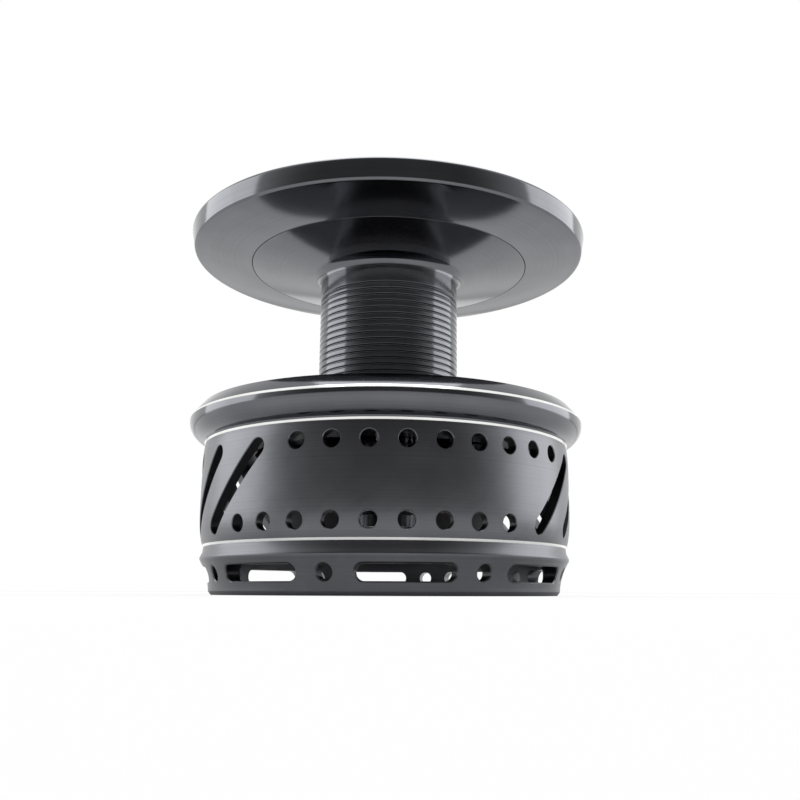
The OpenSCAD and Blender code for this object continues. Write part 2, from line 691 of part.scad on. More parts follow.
module eared_disc(z, h) {
  color([0.68, 0.68, 0.69]) translate([0, 0, z]) difference() {
    union() {
      cylinder(r = washer_r, h = h);
      round_axis(ear_n) translate([washer_r - 2 * cut, -ear_w / 2, 0])
        cube([ear_r - washer_r + 2 * cut, ear_w, h]);
    }
    translate([0, 0, -cut]) cylinder(r = washer_hole_r, h = h + 2 * cut);
  }
}

module carbon_washer_1() { carbon_washer(carbon_1_z); }
module carbon_washer_2() { carbon_washer(carbon_2_z); }
module carbon_washer_3() { carbon_washer(carbon_3_z); }
module carbon_washer_4() { carbon_washer(carbon_4_z); }
module keyed_washer_1() { keyed_washer(keyed_1_z); }
module keyed_washer_2() { keyed_washer(keyed_2_z); }
module eared_washer() { eared_disc(eared_z, eared_h); }
module pressure_washer() { eared_disc(pressure_z, pressure_h); }

// Wire ring with a gap, sprung into the groove over the washers
module snap_ring() {
  gap_deg = 40;
  wire_r = snap_wire_d / 2;
  color([0.75, 0.75, 0.76]) translate([0, 0, snap_z]) rotate([0, 0, 45 + gap_deg / 2])
    rotate_extrude(angle = 360 - gap_deg) translate([drag_r - seat_gap, 0]) circle(r = wire_r, $fn = 32);
}

// ---- Sleeve and click gear ----

sleeve_groove = 0.5;
gear_circlip_w = 2;

module sleeve() {
  color([0.7, 0.71, 0.72]) difference() {
    union() {
      translate([0, 0, sleeve_rear_z]) cylinder(r = sleeve_r, h = sleeve_front_z - sleeve_rear_z);
      translate([0, 0, front_bearing_z + bearing_w])
        cylinder(r = inner_race_r, h = sleeve_front_z - front_bearing_z - bearing_w);
    }
    translate([0, 0, sleeve_rear_z - cut])
      cylinder(r = shaft_r, h = sleeve_front_z - sleeve_rear_z + 2 * cut);
    // Flats that turn the keyed washers
    for (side = [0, 180]) rotate([0, 0, side]) translate([key_flat, -sleeve_r * 2, drag_floor_z])
      cube([sleeve_r, sleeve_r * 4, sleeve_front_z]);
    // Flats that turn the click gear
    for (side = [0, 180]) rotate([0, 0, side]) translate([gear_flat, -sleeve_r * 2, sleeve_rear_z - cut])
      cube([sleeve_r, sleeve_r * 4, click_z + click_h - sleeve_rear_z + cut]);
    // Slot for the main shaft's cross pin
    translate([-drive_slot_w / 2, -sleeve_r * 2, sleeve_rear_z - cut])
      cube([drive_slot_w, sleeve_r * 4, drive_slot_h + cut]);
    tube(sleeve_r - sleeve_groove, sleeve_r + cut,
         gear_circlip_z - groove_play, circlip_h + 2 * groove_play);
  }
}

module gear_spacer() {
  color([0.72, 0.6, 0.35])
    tube(sleeve_r + seat_gap, inner_race_r, click_z + click_h, rear_bearing_z - click_z - click_h);
}

module click_gear() {
  root_r = click_gear_r - click_tooth_h;
  half_pitch = 180 / click_teeth;
  color([0.6, 0.58, 0.5]) translate([0, 0, click_z]) difference() {
    linear_extrude(click_h) polygon([for (i = [0 : 2 * click_teeth - 1])
      let (r = i % 2 == 0 ? root_r : click_gear_r) [r * cos(i * half_pitch), r * sin(i * half_pitch)]]);
    keyed_hole(click_h, sleeve_r + seat_gap, gear_flat + seat_gap);
  }
}

module gear_circlip() {
  color([0.3, 0.3, 0.32]) translate([0, 0, gear_circlip_z]) rotate([0, 0, 35])
    rotate_extrude(angle = 290) translate([sleeve_r - sleeve_groove + groove_play, 0])
      square([gear_circlip_w, circlip_h]);
}

// ---- Clicker ----

post_thread_d = 1.6;
post_thread_l = 3;
pivot_head_h = 1.1;
pivot_head_gap = 0.1;

module click_pawl() {
  nose_r = 0.9;
  nose_tip = 0.15;
  crest_y = -(click_gear_r + crest_gap);
  color([0.68, 0.66, 0.6]) translate([0, 0, click_z]) difference() {
    union() {
      hull() {
        translate([pawl_pivot_xy[0], pawl_pivot_xy[1], 0]) cylinder(d = pawl_w, h = click_h, $fn = 32);
        translate([0, pawl_arm_y, 0]) cylinder(d = pawl_w, h = click_h, $fn = 32);
      }
      translate([pawl_pivot_xy[0], pawl_pivot_xy[1], 0]) cylinder(r = pawl_eye_r, h = click_h, $fn = 48);
      linear_extrude(click_h) polygon([[-nose_r, pawl_arm_y], [-nose_tip, crest_y],
                                       [nose_tip, crest_y], [nose_r, pawl_arm_y]]);
    }
    translate([pawl_pivot_xy[0], pawl_pivot_xy[1], -cut])
      cylinder(d = pawl_pin_d + 2 * run_gap, h = click_h + 2 * cut, $fn = 48);
  }
}

// Shoulder screw that the pawl swings on
module pawl_pivot() {
  shoulder_r = pawl_pin_d / 2;
  thread_r = post_thread_d / 2 - thread_play;
  head_r = pawl_eye_r - 0.2;
  head_z = -pivot_head_gap - pivot_head_h;
  edge = pivot_head_h / 4;
  top = post_z - click_z;
  tip = top + post_thread_l - screw_gap;
  color([0.6, 0.6, 0.61]) translate([pawl_pivot_xy[0], pawl_pivot_xy[1], click_z]) difference() {
    rotate_extrude() polygon([
      [0, head_z], [head_r - edge, head_z], [head_r, head_z + edge], [head_r, -pivot_head_gap],
      [shoulder_r, -pivot_head_gap], [shoulder_r, top], [thread_r, top], [thread_r, tip], [0, tip]]);
    translate([0, 0, head_z]) rotate([180, 0, 0]) hex_socket(post_thread_d * 0.8, pivot_head_h * 0.6);
  }
}

// Leaf spring: a foot under its screw, and a blade on edge that bears on the pawl next to its eye
arm_dir = (pawl_pivot_xy - [0, pawl_arm_y]) / norm(pawl_pivot_xy - [0, pawl_arm_y]);
arm_out = [arm_dir[1], -arm_dir[0]];
blade_tip_in = 3.4;
blade_tip = pawl_pivot_xy - blade_tip_in * arm_dir + (pawl_w / 2 + spring_gap) * arm_out;
spring_foot_r = 2.3;
spring_head_r = 1.6;
spring_head_h = 1;

module pawl_spring() {
  blade_root = spring_foot_xy + [spring_foot_r * 0.7, spring_foot_r * 0.5];
  blade_dir = (blade_tip - blade_root) / norm(blade_tip - blade_root);
  blade_out = [blade_dir[1], -blade_dir[0]];
  color([0.66, 0.67, 0.7]) {
    difference() {
      translate([spring_foot_xy[0], spring_foot_xy[1], post_z - spring_t])
        cylinder(r = spring_foot_r, h = spring_t, $fn = 48);
      translate([spring_foot_xy[0], spring_foot_xy[1], post_z - spring_t - cut])
        cylinder(r = post_thread_d / 2 + run_gap, h = spring_t + 2 * cut, $fn = 24);
    }
    translate([0, 0, click_z]) linear_extrude(post_z - click_z)
      polygon([blade_root, blade_tip, blade_tip + spring_t * blade_out, blade_root + spring_t * blade_out]);
  }
}

module spring_screw() {
  thread_r = post_thread_d / 2 - thread_play;
  head_z = -spring_t - spring_head_h;
  edge = spring_head_h * 0.3;
  tip = post_thread_l - screw_gap;
  color([0.6, 0.6, 0.61]) translate([spring_foot_xy[0], spring_foot_xy[1], post_z]) difference() {
    rotate_extrude() polygon([
      [0, head_z], [spring_head_r - edge, head_z], [spring_head_r, head_z + edge],
      [spring_head_r, -spring_t], [thread_r, -spring_t], [thread_r, tip], [0, tip]]);
    translate([0, 0, head_z]) rotate([180, 0, 0]) hex_socket(post_thread_d * 0.75, spring_head_h * 0.6);
  }
}

spool_body();
lip_ring();
lip_screws();
skirt();
skirt_screws();
front_bearing_outer();
front_bearing_inner();
front_bearing_cage();
front_bearing_balls();
front_bearing_shields();
bearing_spacer();
rear_bearing_outer();
rear_bearing_inner();
rear_bearing_cage();
rear_bearing_balls();
rear_bearing_shields();
bearing_circlip();
carbon_washer_1();
keyed_washer_1();
carbon_washer_2();
eared_washer();
carbon_washer_3();
keyed_washer_2();
carbon_washer_4();
pressure_washer();
snap_ring();
sleeve();
gear_spacer();
click_gear();
gear_circlip();
click_pawl();
pawl_pivot();
pawl_spring();
spring_screw();
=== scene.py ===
"""Dresses the packed spare spool of a big-game spinning reel.

The spool body, lip ring and skirt are remade as surfaces with rounded, chamfered and bright-cut edges.
The bearings, drag washers, sleeve and clicker keep their CAD solids and get their finishes here.
Angles are counted about Z, in degrees, from the side that faces -Y towards +X.
"""

import math

import bmesh
import bpy
import numpy as np
from bpy.props import FloatProperty, FloatVectorProperty, IntProperty, PointerProperty
from mathutils import Matrix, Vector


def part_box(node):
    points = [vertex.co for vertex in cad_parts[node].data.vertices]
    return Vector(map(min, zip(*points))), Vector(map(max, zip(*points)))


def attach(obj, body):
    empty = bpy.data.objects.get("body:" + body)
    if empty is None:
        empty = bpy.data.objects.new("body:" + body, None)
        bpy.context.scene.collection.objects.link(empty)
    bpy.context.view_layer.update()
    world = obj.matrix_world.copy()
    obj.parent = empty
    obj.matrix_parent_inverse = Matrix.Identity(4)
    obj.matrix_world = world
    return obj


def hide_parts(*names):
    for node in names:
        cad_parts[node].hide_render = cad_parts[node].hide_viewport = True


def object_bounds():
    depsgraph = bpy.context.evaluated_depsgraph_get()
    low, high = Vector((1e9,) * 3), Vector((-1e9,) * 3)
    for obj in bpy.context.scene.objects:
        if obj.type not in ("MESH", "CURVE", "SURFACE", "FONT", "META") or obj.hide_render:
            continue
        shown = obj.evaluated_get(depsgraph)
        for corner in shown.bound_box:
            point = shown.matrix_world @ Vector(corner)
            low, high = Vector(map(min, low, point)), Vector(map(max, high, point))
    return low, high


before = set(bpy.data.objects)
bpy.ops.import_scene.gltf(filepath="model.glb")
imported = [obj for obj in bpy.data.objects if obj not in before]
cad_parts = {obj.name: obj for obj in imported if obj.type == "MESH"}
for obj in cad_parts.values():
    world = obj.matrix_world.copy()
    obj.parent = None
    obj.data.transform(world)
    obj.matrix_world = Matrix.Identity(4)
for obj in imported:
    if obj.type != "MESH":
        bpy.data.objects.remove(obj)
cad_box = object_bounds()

bl_info = {
    "name": "Reel spool dresser",
    "version": (1, 0, 0),
    "blender": (4, 5, 0),
    "location": "View3D > Sidebar > Spool",
    "description": "Builds the turned surfaces and finishes of a spinning reel's spare spool",
    "category": "Object",
}

MM = 0.001
# Points that meet closer than this are one point
WELD = 2e-6
# Two faces that meet at more than this many degrees keep a sharp edge
CREASE = 28
# Finishes in a piece's list of materials
ANODISED, BRIGHT = 0, 1


def linear(colour):
    """Linear RGB of an sRGB hex colour: each channel c becomes c / 12.92 up to 0.04045, and ((c + 0.055) /
    1.055) ^ 2.4 above."""
    srgb = np.array([int(colour[i : i + 2], 16) for i in (1, 3, 5)]) / 255
    return tuple(np.where(srgb <= 0.04045, srgb / 12.92, ((srgb + 0.055) / 1.055) ** 2.4))


def length(label, about, mm):
    """A length property, in metres, whose default is given in millimetres."""
    return FloatProperty(name=label, description=about, default=mm * MM, min=0.0, precision=5, unit="LENGTH")


def slope(label, about, degrees):
    """An angle property whose default is given in degrees."""
    return FloatProperty(
        name=label, description=about, default=math.radians(degrees), subtype="ANGLE", unit="ROTATION"
    )


def tint(label, about, colour):
    """A colour property whose default is an sRGB hex colour."""
    return FloatVectorProperty(
        name=label, description=about, default=linear(colour), size=3, min=0.0, max=1.0, subtype="COLOR"
    )


def part(label, about, share):
    """A plain number from 0 to 1, such as a roughness."""
    return FloatProperty(name=label, description=about, default=share, min=0.0, max=1.0, subtype="FACTOR")


# ---- Sizes, finishes and studio ----


class SpoolLevels(bpy.types.PropertyGroup):
    """Heights and radii that several pieces share."""

    drum_low: length("Drum's lower edge", "Height of the drum's lower bright edge", 8.1)
    rim_low: length("Rim's lower edge", "Height where the rear flange's rim meets the skirt", 26.1)
    rim_top: length("Rim's top", "Height of the rear flange's front face at its bevel", 33.0)
    spigot_top: length(
        "Spigot top", "Height of the top of the skirt's mounting flange, where it seats in the body", 27.6
    )
    lip_low: length("Lip's underside", "Height of the lip's underside at its edge", 63.2)
    lip_top: length("Lip's front face", "Height of the lip's front face", 66.3)
    ledge_low: length("Ledge", "Height of the joint face under the lip ring's ledge", 64.8)
    lip_radius: length("Lip radius", "Radius of the lip's outer edge", 37.5)
    lip_lean: length("Lip band's lean", "How far the lip's band leans in towards its lower edge", 0.5)
    lip_slope: slope("Lip's slope", "Slope of the lip's underside", 7.8)
    seam_radius: length("Seam radius", "Radius of the joint between body and lip ring on the underside", 26.3)
    collar_radius: length("Collar radius", "Outer radius of the body's collar inside the lip ring", 22.4)
    rim_low_radius: length("Rim's lower radius", "Radius where the rim meets the skirt", 33.05)
    edge_round: length("Broken edges", "Rounding of the small edges that a lathe hand breaks", 0.08)


class BodySizes(bpy.types.PropertyGroup):
    """The turned body: arbor, rear flange, hub and drag cavity."""

    rim_radius: length("Rim radius", "Radius of the rear flange's rim", 35.95)
    rim_round: length("Rim rounding", "Radius of the rounding under the rim", 3.6)
    rim_bevel_radius: length("Bevel's inner radius", "Radius where the rim's front bevel ends", 33.9)
    rim_bevel_height: length("Bevel height", "Height of the rim's front bevel", 2.1)
    bright_width: length("Bright edge", "Width of the bright cut edge at the rim", 0.5)
    bright_line: length("Bright line", "Height of the bright cut line at the rim's lower edge", 0.34)
    flange_slope: slope("Flange slope", "Slope of the rear flange's front face", 2.5)
    arbor_radius: length("Arbor radius", "Radius of the arbor that the line winds on", 13.1)
    arbor_fillet: length("Arbor fillet", "Radius of the fillets at both ends of the arbor", 2.0)
    groove_pitch: length("Groove spacing", "Spacing of the rings turned into the arbor", 1.168)
    groove_depth: length("Groove depth", "Depth of the rings turned into the arbor", 0.3)
    groove_width: length("Groove width", "Width of a ring at the arbor's surface", 0.46)
    plain_collar: length("Plain collar", "Height of the plain arbor above the rings", 3.1)
    recess_radius: length("Knob recess radius", "Radius of the recess for the drag knob", 21.0)
    recess_depth: length("Knob recess depth", "Depth of the recess for the drag knob", 2.7)
    cavity_radius: length("Drag cavity radius", "Radius of the drag cavity in the front of the arbor", 11.2)
    cavity_floor: length("Drag floor", "Height of the floor under the drag washers", 53.65)
    ear_slot_floor: length("Ear slot floor", "Height of the ear slots' lower end", 56.25)
    ear_slot_half: length("Ear slot half width", "Half the width of a slot for the washers' ears", 1.6)
    ear_slot_reach: length("Ear slot reach", "Distance of a slot's end from the axis", 12.2)
    hub_radius: length("Hub radius", "Outer radius of the rear hub", 13.3)
    bore_radius: length("Bearing bore radius", "Radius of the bore for both bearings", 10.5)
    hub_low: length("Hub end", "Height of the rear hub's end", 18.3)
    pocket_radius: length("Pocket radius", "Radius of the hollow round the hub", 24.0)
    pocket_top: length("Pocket top", "Height of the web over the hollow round the hub", 30.0)
    rebate_depth: length("Rebate depth", "How far the skirt's seat lies inside the rim's lower edge", 0.65)
    clip_depth: length("Circlip groove depth", "Depth of the circlip's groove in the bearing bore", 0.6)
    clip_low: length("Circlip groove", "Height of the lower side of the circlip's groove", 19.77)
    clip_width: length("Circlip groove width", "Width of the circlip's groove", 1.06)
    web: length("Web", "Thickness of the web between the drag floor and the front bearing", 1.4)
    web_hole: length("Web hole radius", "Radius of the sleeve's hole through the web", 7.5)
    snap_height: length("Snap ring groove", "Height of the middle of the snap ring's groove", 62.1)
    snap_depth: length("Snap ring groove depth", "Depth of the snap ring's groove", 0.5)
    snap_half: length("Snap ring groove half width", "Half the width of the snap ring's groove", 0.5)
    post_radius: length("Post radius", "Radius of the clicker's posts", 2.8)
    post_low: length("Post end", "Height of the posts' ends", 17.45)


class SkirtSizes(bpy.types.PropertyGroup):
    """The skirt: drum, lower ring and mounting flange."""

    drum_radius: length("Drum radius", "Largest radius of the drum", 33.35)
    drum_low_radius: length("Drum's lower radius", "Radius of the drum at its lower bright edge", 32.7)
    drum_inner_radius: length("Drum's inner radius", "Radius of the drum's inside", 31.6)
    bright_line: length("Bright line", "Height of the bright cut line at the drum's lower edge", 0.38)
    base_radius: length("Foot radius", "Radius of the lower ring at its foot", 31.25)
    base_inner_radius: length("Foot's inner radius", "Inner radius of the lower ring", 29.35)
    bead_height: length("Bead height", "Height of the bead's crest over the foot", 6.15)
    bead_reach: length("Bead reach", "How far the bead stands out past the foot", 1.75)
    bead_nose: length("Bead nose", "Radius of the bead's nose", 0.7)
    flange_inner_radius: length("Flange's inner radius", "Inner radius of the mounting flange", 24.3)
    flange_low: length("Flange underside", "Height of the mounting flange's underside", 25.0)
    hole_diameter: length("Drum hole diameter", "Diameter of the round holes in the drum", 2.75)
    slot_width: length("Slot width", "Width of the slanted slots in the drum", 2.85)
    slot_top_drop: length("Slot top drop", "Distance of the slots' upper ends below the upper row", 0.5)
    upper_row: length("Upper row", "Height of the upper row's centres", 23.25)
    lower_row: length("Lower row", "Height of the lower row's centres", 11.07)
    window_height: length("Window height", "Height of the lower ring's long windows", 2.6)
    window_middle: length("Window middle", "Height of the windows' centres", 3.45)
    window_arc: slope("Window length", "Length of each window round the ring", 28.2)
    ring_hole_diameter: length("Ring hole diameter", "Diameter of the holes between the windows", 2.45)
    hole_chamfer: length("Hole chamfer", "Chamfer round the drum's holes and slots", 0.12)
    window_chamfer: length("Window chamfer", "Chamfer round the lower ring's cuts", 0.2)


class LipSizes(bpy.types.PropertyGroup):
    """The lip ring that is screwed to the body's front."""

    edge_round: length("Edge rounding", "Rounding of the band's lower edge", 0.6)
    bead_height: length("Bead height", "Height of the bead on the lip's front face", 0.7)
    bead_width: length("Bead width", "Width of the bead on the lip's front face", 4.2)
    screw_circle: length("Screw circle", "Radius of the circle that the screws stand on", 24.35)
    screw_head: length("Screw head", "Radius of a countersunk screw head", 1.6)
    screw_count: IntProperty(
        name="Screws", description="Number of screws in the lip ring", default=6, min=3, max=12
    )


class Finishes(bpy.types.PropertyGroup):
    """Colours and roughness of the real materials."""

    black: tint("Black anodising", "Dyed oxide on the body", "#66676b")
    black_lip: tint("Lip's anodising", "Dyed oxide on the lip ring", "#696a6e")
    black_skirt: tint("Skirt's anodising", "Dyed oxide on the skirt", "#696a6e")
    bright: tint("Cut aluminium", "Bare aluminium where an edge was cut after anodising", "#f4f4f2")
    steel: tint("Ground steel", "Bearing rings, wire and spring strip", "#c9cacc")
    blacked: tint("Blacked steel", "Sleeve", "#4a4b50")
    stainless: tint("Stainless sheet", "Washers and shields", "#bfc0c0")
    spring: tint("Spring steel", "Blued circlips", "#3d3f45")
    brass: tint("Brass", "Bearing cages and gear spacer", "#c9a45a")
    bronze: tint("Hard bronze", "Click gear and pawl", "#75603f")
    clear: tint("Clear anodising", "Bearing spacer", "#b9bbbd")
    carbon: tint("Carbon cloth", "Drag washers", "#2a2b2e")
    turned_roughness: part("Turned gloss", "Roughness of fine-turned anodised aluminium, on body and lip", 0.12)
    skirt_roughness: part("Skirt's gloss", "Roughness of the skirt's satin anodised aluminium", 0.3)
    bright_roughness: part("Cut edge roughness", "Roughness of a diamond-cut edge", 0.14)


class Studio(bpy.types.PropertyGroup):
    """Floor, light and camera."""

    camera_distance: length("Camera distance", "Distance of the camera from the axis", 164.53)
    camera_height: length("Camera height", "Height of the camera over the floor", 0.59)
    camera_turn: slope("Camera turn", "Turn of the view to the right of the axis", 2.544)
    camera_tilt: slope("Camera tilt", "Upward tilt of the view", 12.119)
    camera_roll: slope("Camera roll", "Roll of the view", 0.203)
    lens: FloatProperty(
        name="Lens", description="Focal length on a 36 mm sensor, in millimetres", default=39.94, min=10.0
    )
    floor_radius: FloatProperty(
        name="Floor radius", description="Radius of the pale floor", default=4.0, min=0.5, unit="LENGTH"
    )
    world_level: part("World light", "Level of the plain surrounding light", 0.55)
    front_level: part("Front reflection", "Brightness that metal reflects from the camera's side", 0.14)


# ---- Surfaces ----


def arc(centre_r, centre_z, radius, start, end, steps):
    """Points of a half section's arc: centre + radius * (cos a, sin a), a going evenly from start to end in
    degrees."""
    a = np.radians(np.linspace(start, end, steps + 1))
    return np.column_stack([centre_r + radius * np.cos(a), centre_z + radius * np.sin(a)])


def outline(*runs):
    """Joins runs of (points, finish) into one half section. Returns its points and the finish of each edge that
    leaves a point."""
    points = [np.reshape(np.array(p, float), (-1, 2)) for p, _ in runs]
    return np.vstack(points), np.concatenate([np.full(len(p), f) for p, (_, f) in zip(points, runs)])


def soften(points, finish, radius, steps=3):
    """Rounds each corner of an open half section that turns by more than 20 degrees and has one finish on both
    sides.
    The corner becomes the curve (1-t)^2 A + 2t(1-t) P + t^2 B, where A and B lie radius * tan(turn / 2) from
    the corner P along its edges,
    and at most 0.45 of either edge."""
    back, ahead = points[:-2] - points[1:-1], points[2:] - points[1:-1]
    back_l, ahead_l = np.linalg.norm(back, axis=1), np.linalg.norm(ahead, axis=1)
    turn = math.pi - np.arccos(np.clip((back * ahead).sum(1) / (back_l * ahead_l), -1, 1))
    reach = np.minimum(radius * np.tan(np.minimum(turn, 3.0) / 2), 0.45 * np.minimum(back_l, ahead_l))
    reach[(turn < math.radians(20)) | (finish[:-2] != finish[1:-1])] = 0
    t = np.linspace(0, 1, steps + 1)[None, :, None]
    first = points[1:-1] + back / back_l[:, None] * reach[:, None]
    last = points[1:-1] + ahead / ahead_l[:, None] * reach[:, None]
    curve = (1 - t) ** 2 * first[:, None] + 2 * t * (1 - t) * points[1:-1, None] + t**2 * last[:, None]
    kept = (reach[:, None] > 0) | (np.arange(steps + 1)[None] == 0)
    marks = np.repeat(finish[1:-1, None], steps + 1, axis=1)
    return (
        np.vstack([points[:1], curve[kept], points[-1:]]),
        np.concatenate([finish[:1], marks[kept], finish[-1:]]),
    )


def around(radius, angle, z):
    """Points at radius and angle about the axis: (radius sin angle, -radius cos angle, z), as arrays that
    broadcast."""
    a = np.radians(angle)
    return np.stack(np.broadcast_arrays(radius * np.sin(a), -radius * np.cos(a), z), axis=-1)


def turned(points, angles):
    """Carries a half section round the axis: row i, column j is its point i at angle j."""
    return around(points[:, :1], angles[None, :], points[:, 1:])


class Shell:
    """A piece in the making: grids of points whose borders meet point on point, so that the whole is closed."""

    def __init__(self):
        self.points, self.quads, self.finishes, self.count = [], [], [], 0

    def add(self, grid, finish=ANODISED, loop=False):
        """Adds a grid of rows by columns. finish is one number, or one for each gap between rows. loop joins
        the last column to the first."""
        rows, columns = grid.shape[:2]
        index = self.count + np.arange(rows * columns).reshape(rows, columns)
        if loop:
            index = np.hstack([index, index[:, :1]])
        quads = np.stack([index[:-1, :-1], index[:-1, 1:], index[1:, 1:], index[1:, :-1]], axis=-1)
        self.finishes.append(np.broadcast_to(np.reshape(finish, (-1, 1)), quads.shape[:2]).ravel())
        self.points.append(grid.reshape(-1, 3))
        self.quads.append(quads.reshape(-1, 4))
        self.count += rows * columns

    def repeat(self, grid, angles, finish=ANODISED, loop=False):
        """Adds copies of a grid, each turned about the axis by one of the angles: x' = x cos a - y sin a, y' =
        x sin a + y cos a."""
        for a in np.radians(angles):
            turn = np.array([[math.cos(a), math.sin(a), 0], [-math.sin(a), math.cos(a), 0], [0, 0, 1]])
            self.add(grid @ turn, finish, loop)

    def build(self, name, materials):
        """Makes the object: fills the mesh from whole arrays, merges the points that meet, and turns every face
        outwards."""
        points, quads = np.concatenate(self.points), np.concatenate(self.quads)
        mesh = bpy.data.meshes.new(name)
        mesh.vertices.add(len(points))
        mesh.vertices.foreach_set("co", points.ravel())
        mesh.loops.add(quads.size)
        mesh.loops.foreach_set("vertex_index", quads.ravel())
        mesh.polygons.add(len(quads))
        mesh.polygons.foreach_set("loop_start", np.arange(0, quads.size, 4))
        mesh.polygons.foreach_set("material_index", np.concatenate(self.finishes).astype(np.int32))
        mesh.update(calc_edges=True)
        bm = bmesh.new()
        bm.from_mesh(mesh)
        bmesh.ops.remove_doubles(bm, verts=bm.verts, dist=WELD)
        bmesh.ops.recalc_face_normals(bm, faces=bm.faces)
        loose = sum(not e.is_manifold for e in bm.edges)
        bm.to_mesh(mesh)
        bm.free()
        if loose:
            raise RuntimeError(f"{name} has {loose} open edges")
        mesh.polygons.foreach_set("use_smooth", np.ones(len(mesh.polygons), bool))
        mesh.set_sharp_from_angle(angle=math.radians(CREASE))
        for material in materials:
            mesh.materials.append(material)
        piece = bpy.data.objects.new(name, mesh)
        bpy.context.scene.collection.objects.link(piece)
        return piece


def stand_for(piece, node, body):
    """Puts a piece in a CAD node's place, once its box is within 0.1 mm of the node's."""
    corners = np.array([v[:] for v in piece.bound_box])
    low, high = (np.array(c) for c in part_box(node))
    off = max(abs(corners.min(0) - low).max(), abs(corners.max(0) - high).max())
    if off > 0.1 * MM:
        raise RuntimeError(f"{piece.name} is {off / MM:.2f} mm off the box of {node}")
    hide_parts(node)
    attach(piece, body)


# ---- Finishes ----


def add(tree, kind, sockets=None, **settings):
    """Adds one node to a tree. settings are the node's own properties. sockets maps an input to a value, a
    node's output, or a node, whose first output is taken."""
    node = tree.nodes.new(kind)
    for name, value in settings.items():
        setattr(node, name, value)
    for name, value in (sockets or {}).items():
        if isinstance(value, bpy.types.Node):
            value = value.outputs[0]
        if isinstance(value, bpy.types.NodeSocket):
            tree.links.new(value, node.inputs[name])
        else:
            node.inputs[name].default_value = value
    return node


def opaque(colour):
    """RGBA of an RGB colour."""
    return (*colour, 1.0)


def shade(colour, factor):
    """RGBA of a colour made darker or lighter by a factor."""
    return tuple(min(c * factor, 1.0) for c in colour) + (1.0,)


def turned_metal(name, colour, roughness, spacing, depth, swirl=0.3, mottle=0.012, spread=0.1):
    """A metal cut or ground while it turned: rings of tool marks about the axis, which break the gloss across
    them.
    spacing and depth are the marks' size in millimetres. swirl is how much the gloss is stretched across the
    marks,
    mottle the range of the roughness and spread the range of the colour over patches of some millimetres."""
    material = bpy.data.materials.new(name)
    material.use_nodes = True
    tree = material.node_tree
    tree.nodes.clear()
    place = add(tree, "ShaderNodeTexCoord").outputs["Object"]
    flat = add(tree, "ShaderNodeVectorMath", {0: place, 1: (1, 1, 0)}, operation="MULTIPLY")
    radius = add(tree, "ShaderNodeVectorMath", {0: flat}, operation="LENGTH").outputs["Value"]
    height = add(tree, "ShaderNodeSeparateXYZ", {0: place}).outputs["Z"]
    section = add(tree, "ShaderNodeCombineXYZ", {"X": radius, "Y": height})
    rings = add(
        tree,
        "ShaderNodeTexNoise",
        {"Vector": section, "Scale": 1 / (spacing * MM), "Detail": 2.0, "Roughness": 0.6},
    )
    patches = add(tree, "ShaderNodeTexNoise", {"Vector": place, "Scale": 1 / (7 * MM), "Detail": 3.0})
    both = add(tree, "ShaderNodeMath", {0: rings.outputs[0], 1: patches.outputs[0]}, operation="MULTIPLY")
    tone = add(tree, "ShaderNodeMapRange", {"Value": both, "From Min": 0.1, "From Max": 0.4})
    hue = add(
        tree,
        "ShaderNodeMix",
        {"Factor": tone, 6: shade(colour, 1 - spread), 7: shade(colour, 1 + spread)},
        data_type="RGBA",
    ).outputs[2]
    gloss = add(
        tree,
        "ShaderNodeMapRange",
        {
            "Value": patches.outputs[0],
            "From Min": 0.3,
            "From Max": 0.7,
            "To Min": roughness - mottle,
            "To Max": roughness + mottle,
        },
    )
    bump = add(tree, "ShaderNodeBump", {"Height": rings.outputs[0], "Distance": depth * MM, "Strength": 1.0})
    tangent = add(tree, "ShaderNodeTangent", direction_type="RADIAL", axis="Z")
    shader = add(
        tree,
        "ShaderNodeBsdfPrincipled",
        {
            "Base Color": hue,
            "Metallic": 1.0,
            "Roughness": gloss,
            "Anisotropic": swirl,
            "Tangent": tangent,
            "Normal": bump,
        },
    )
    add(tree, "ShaderNodeOutputMaterial", {"Surface": shader})
    return material


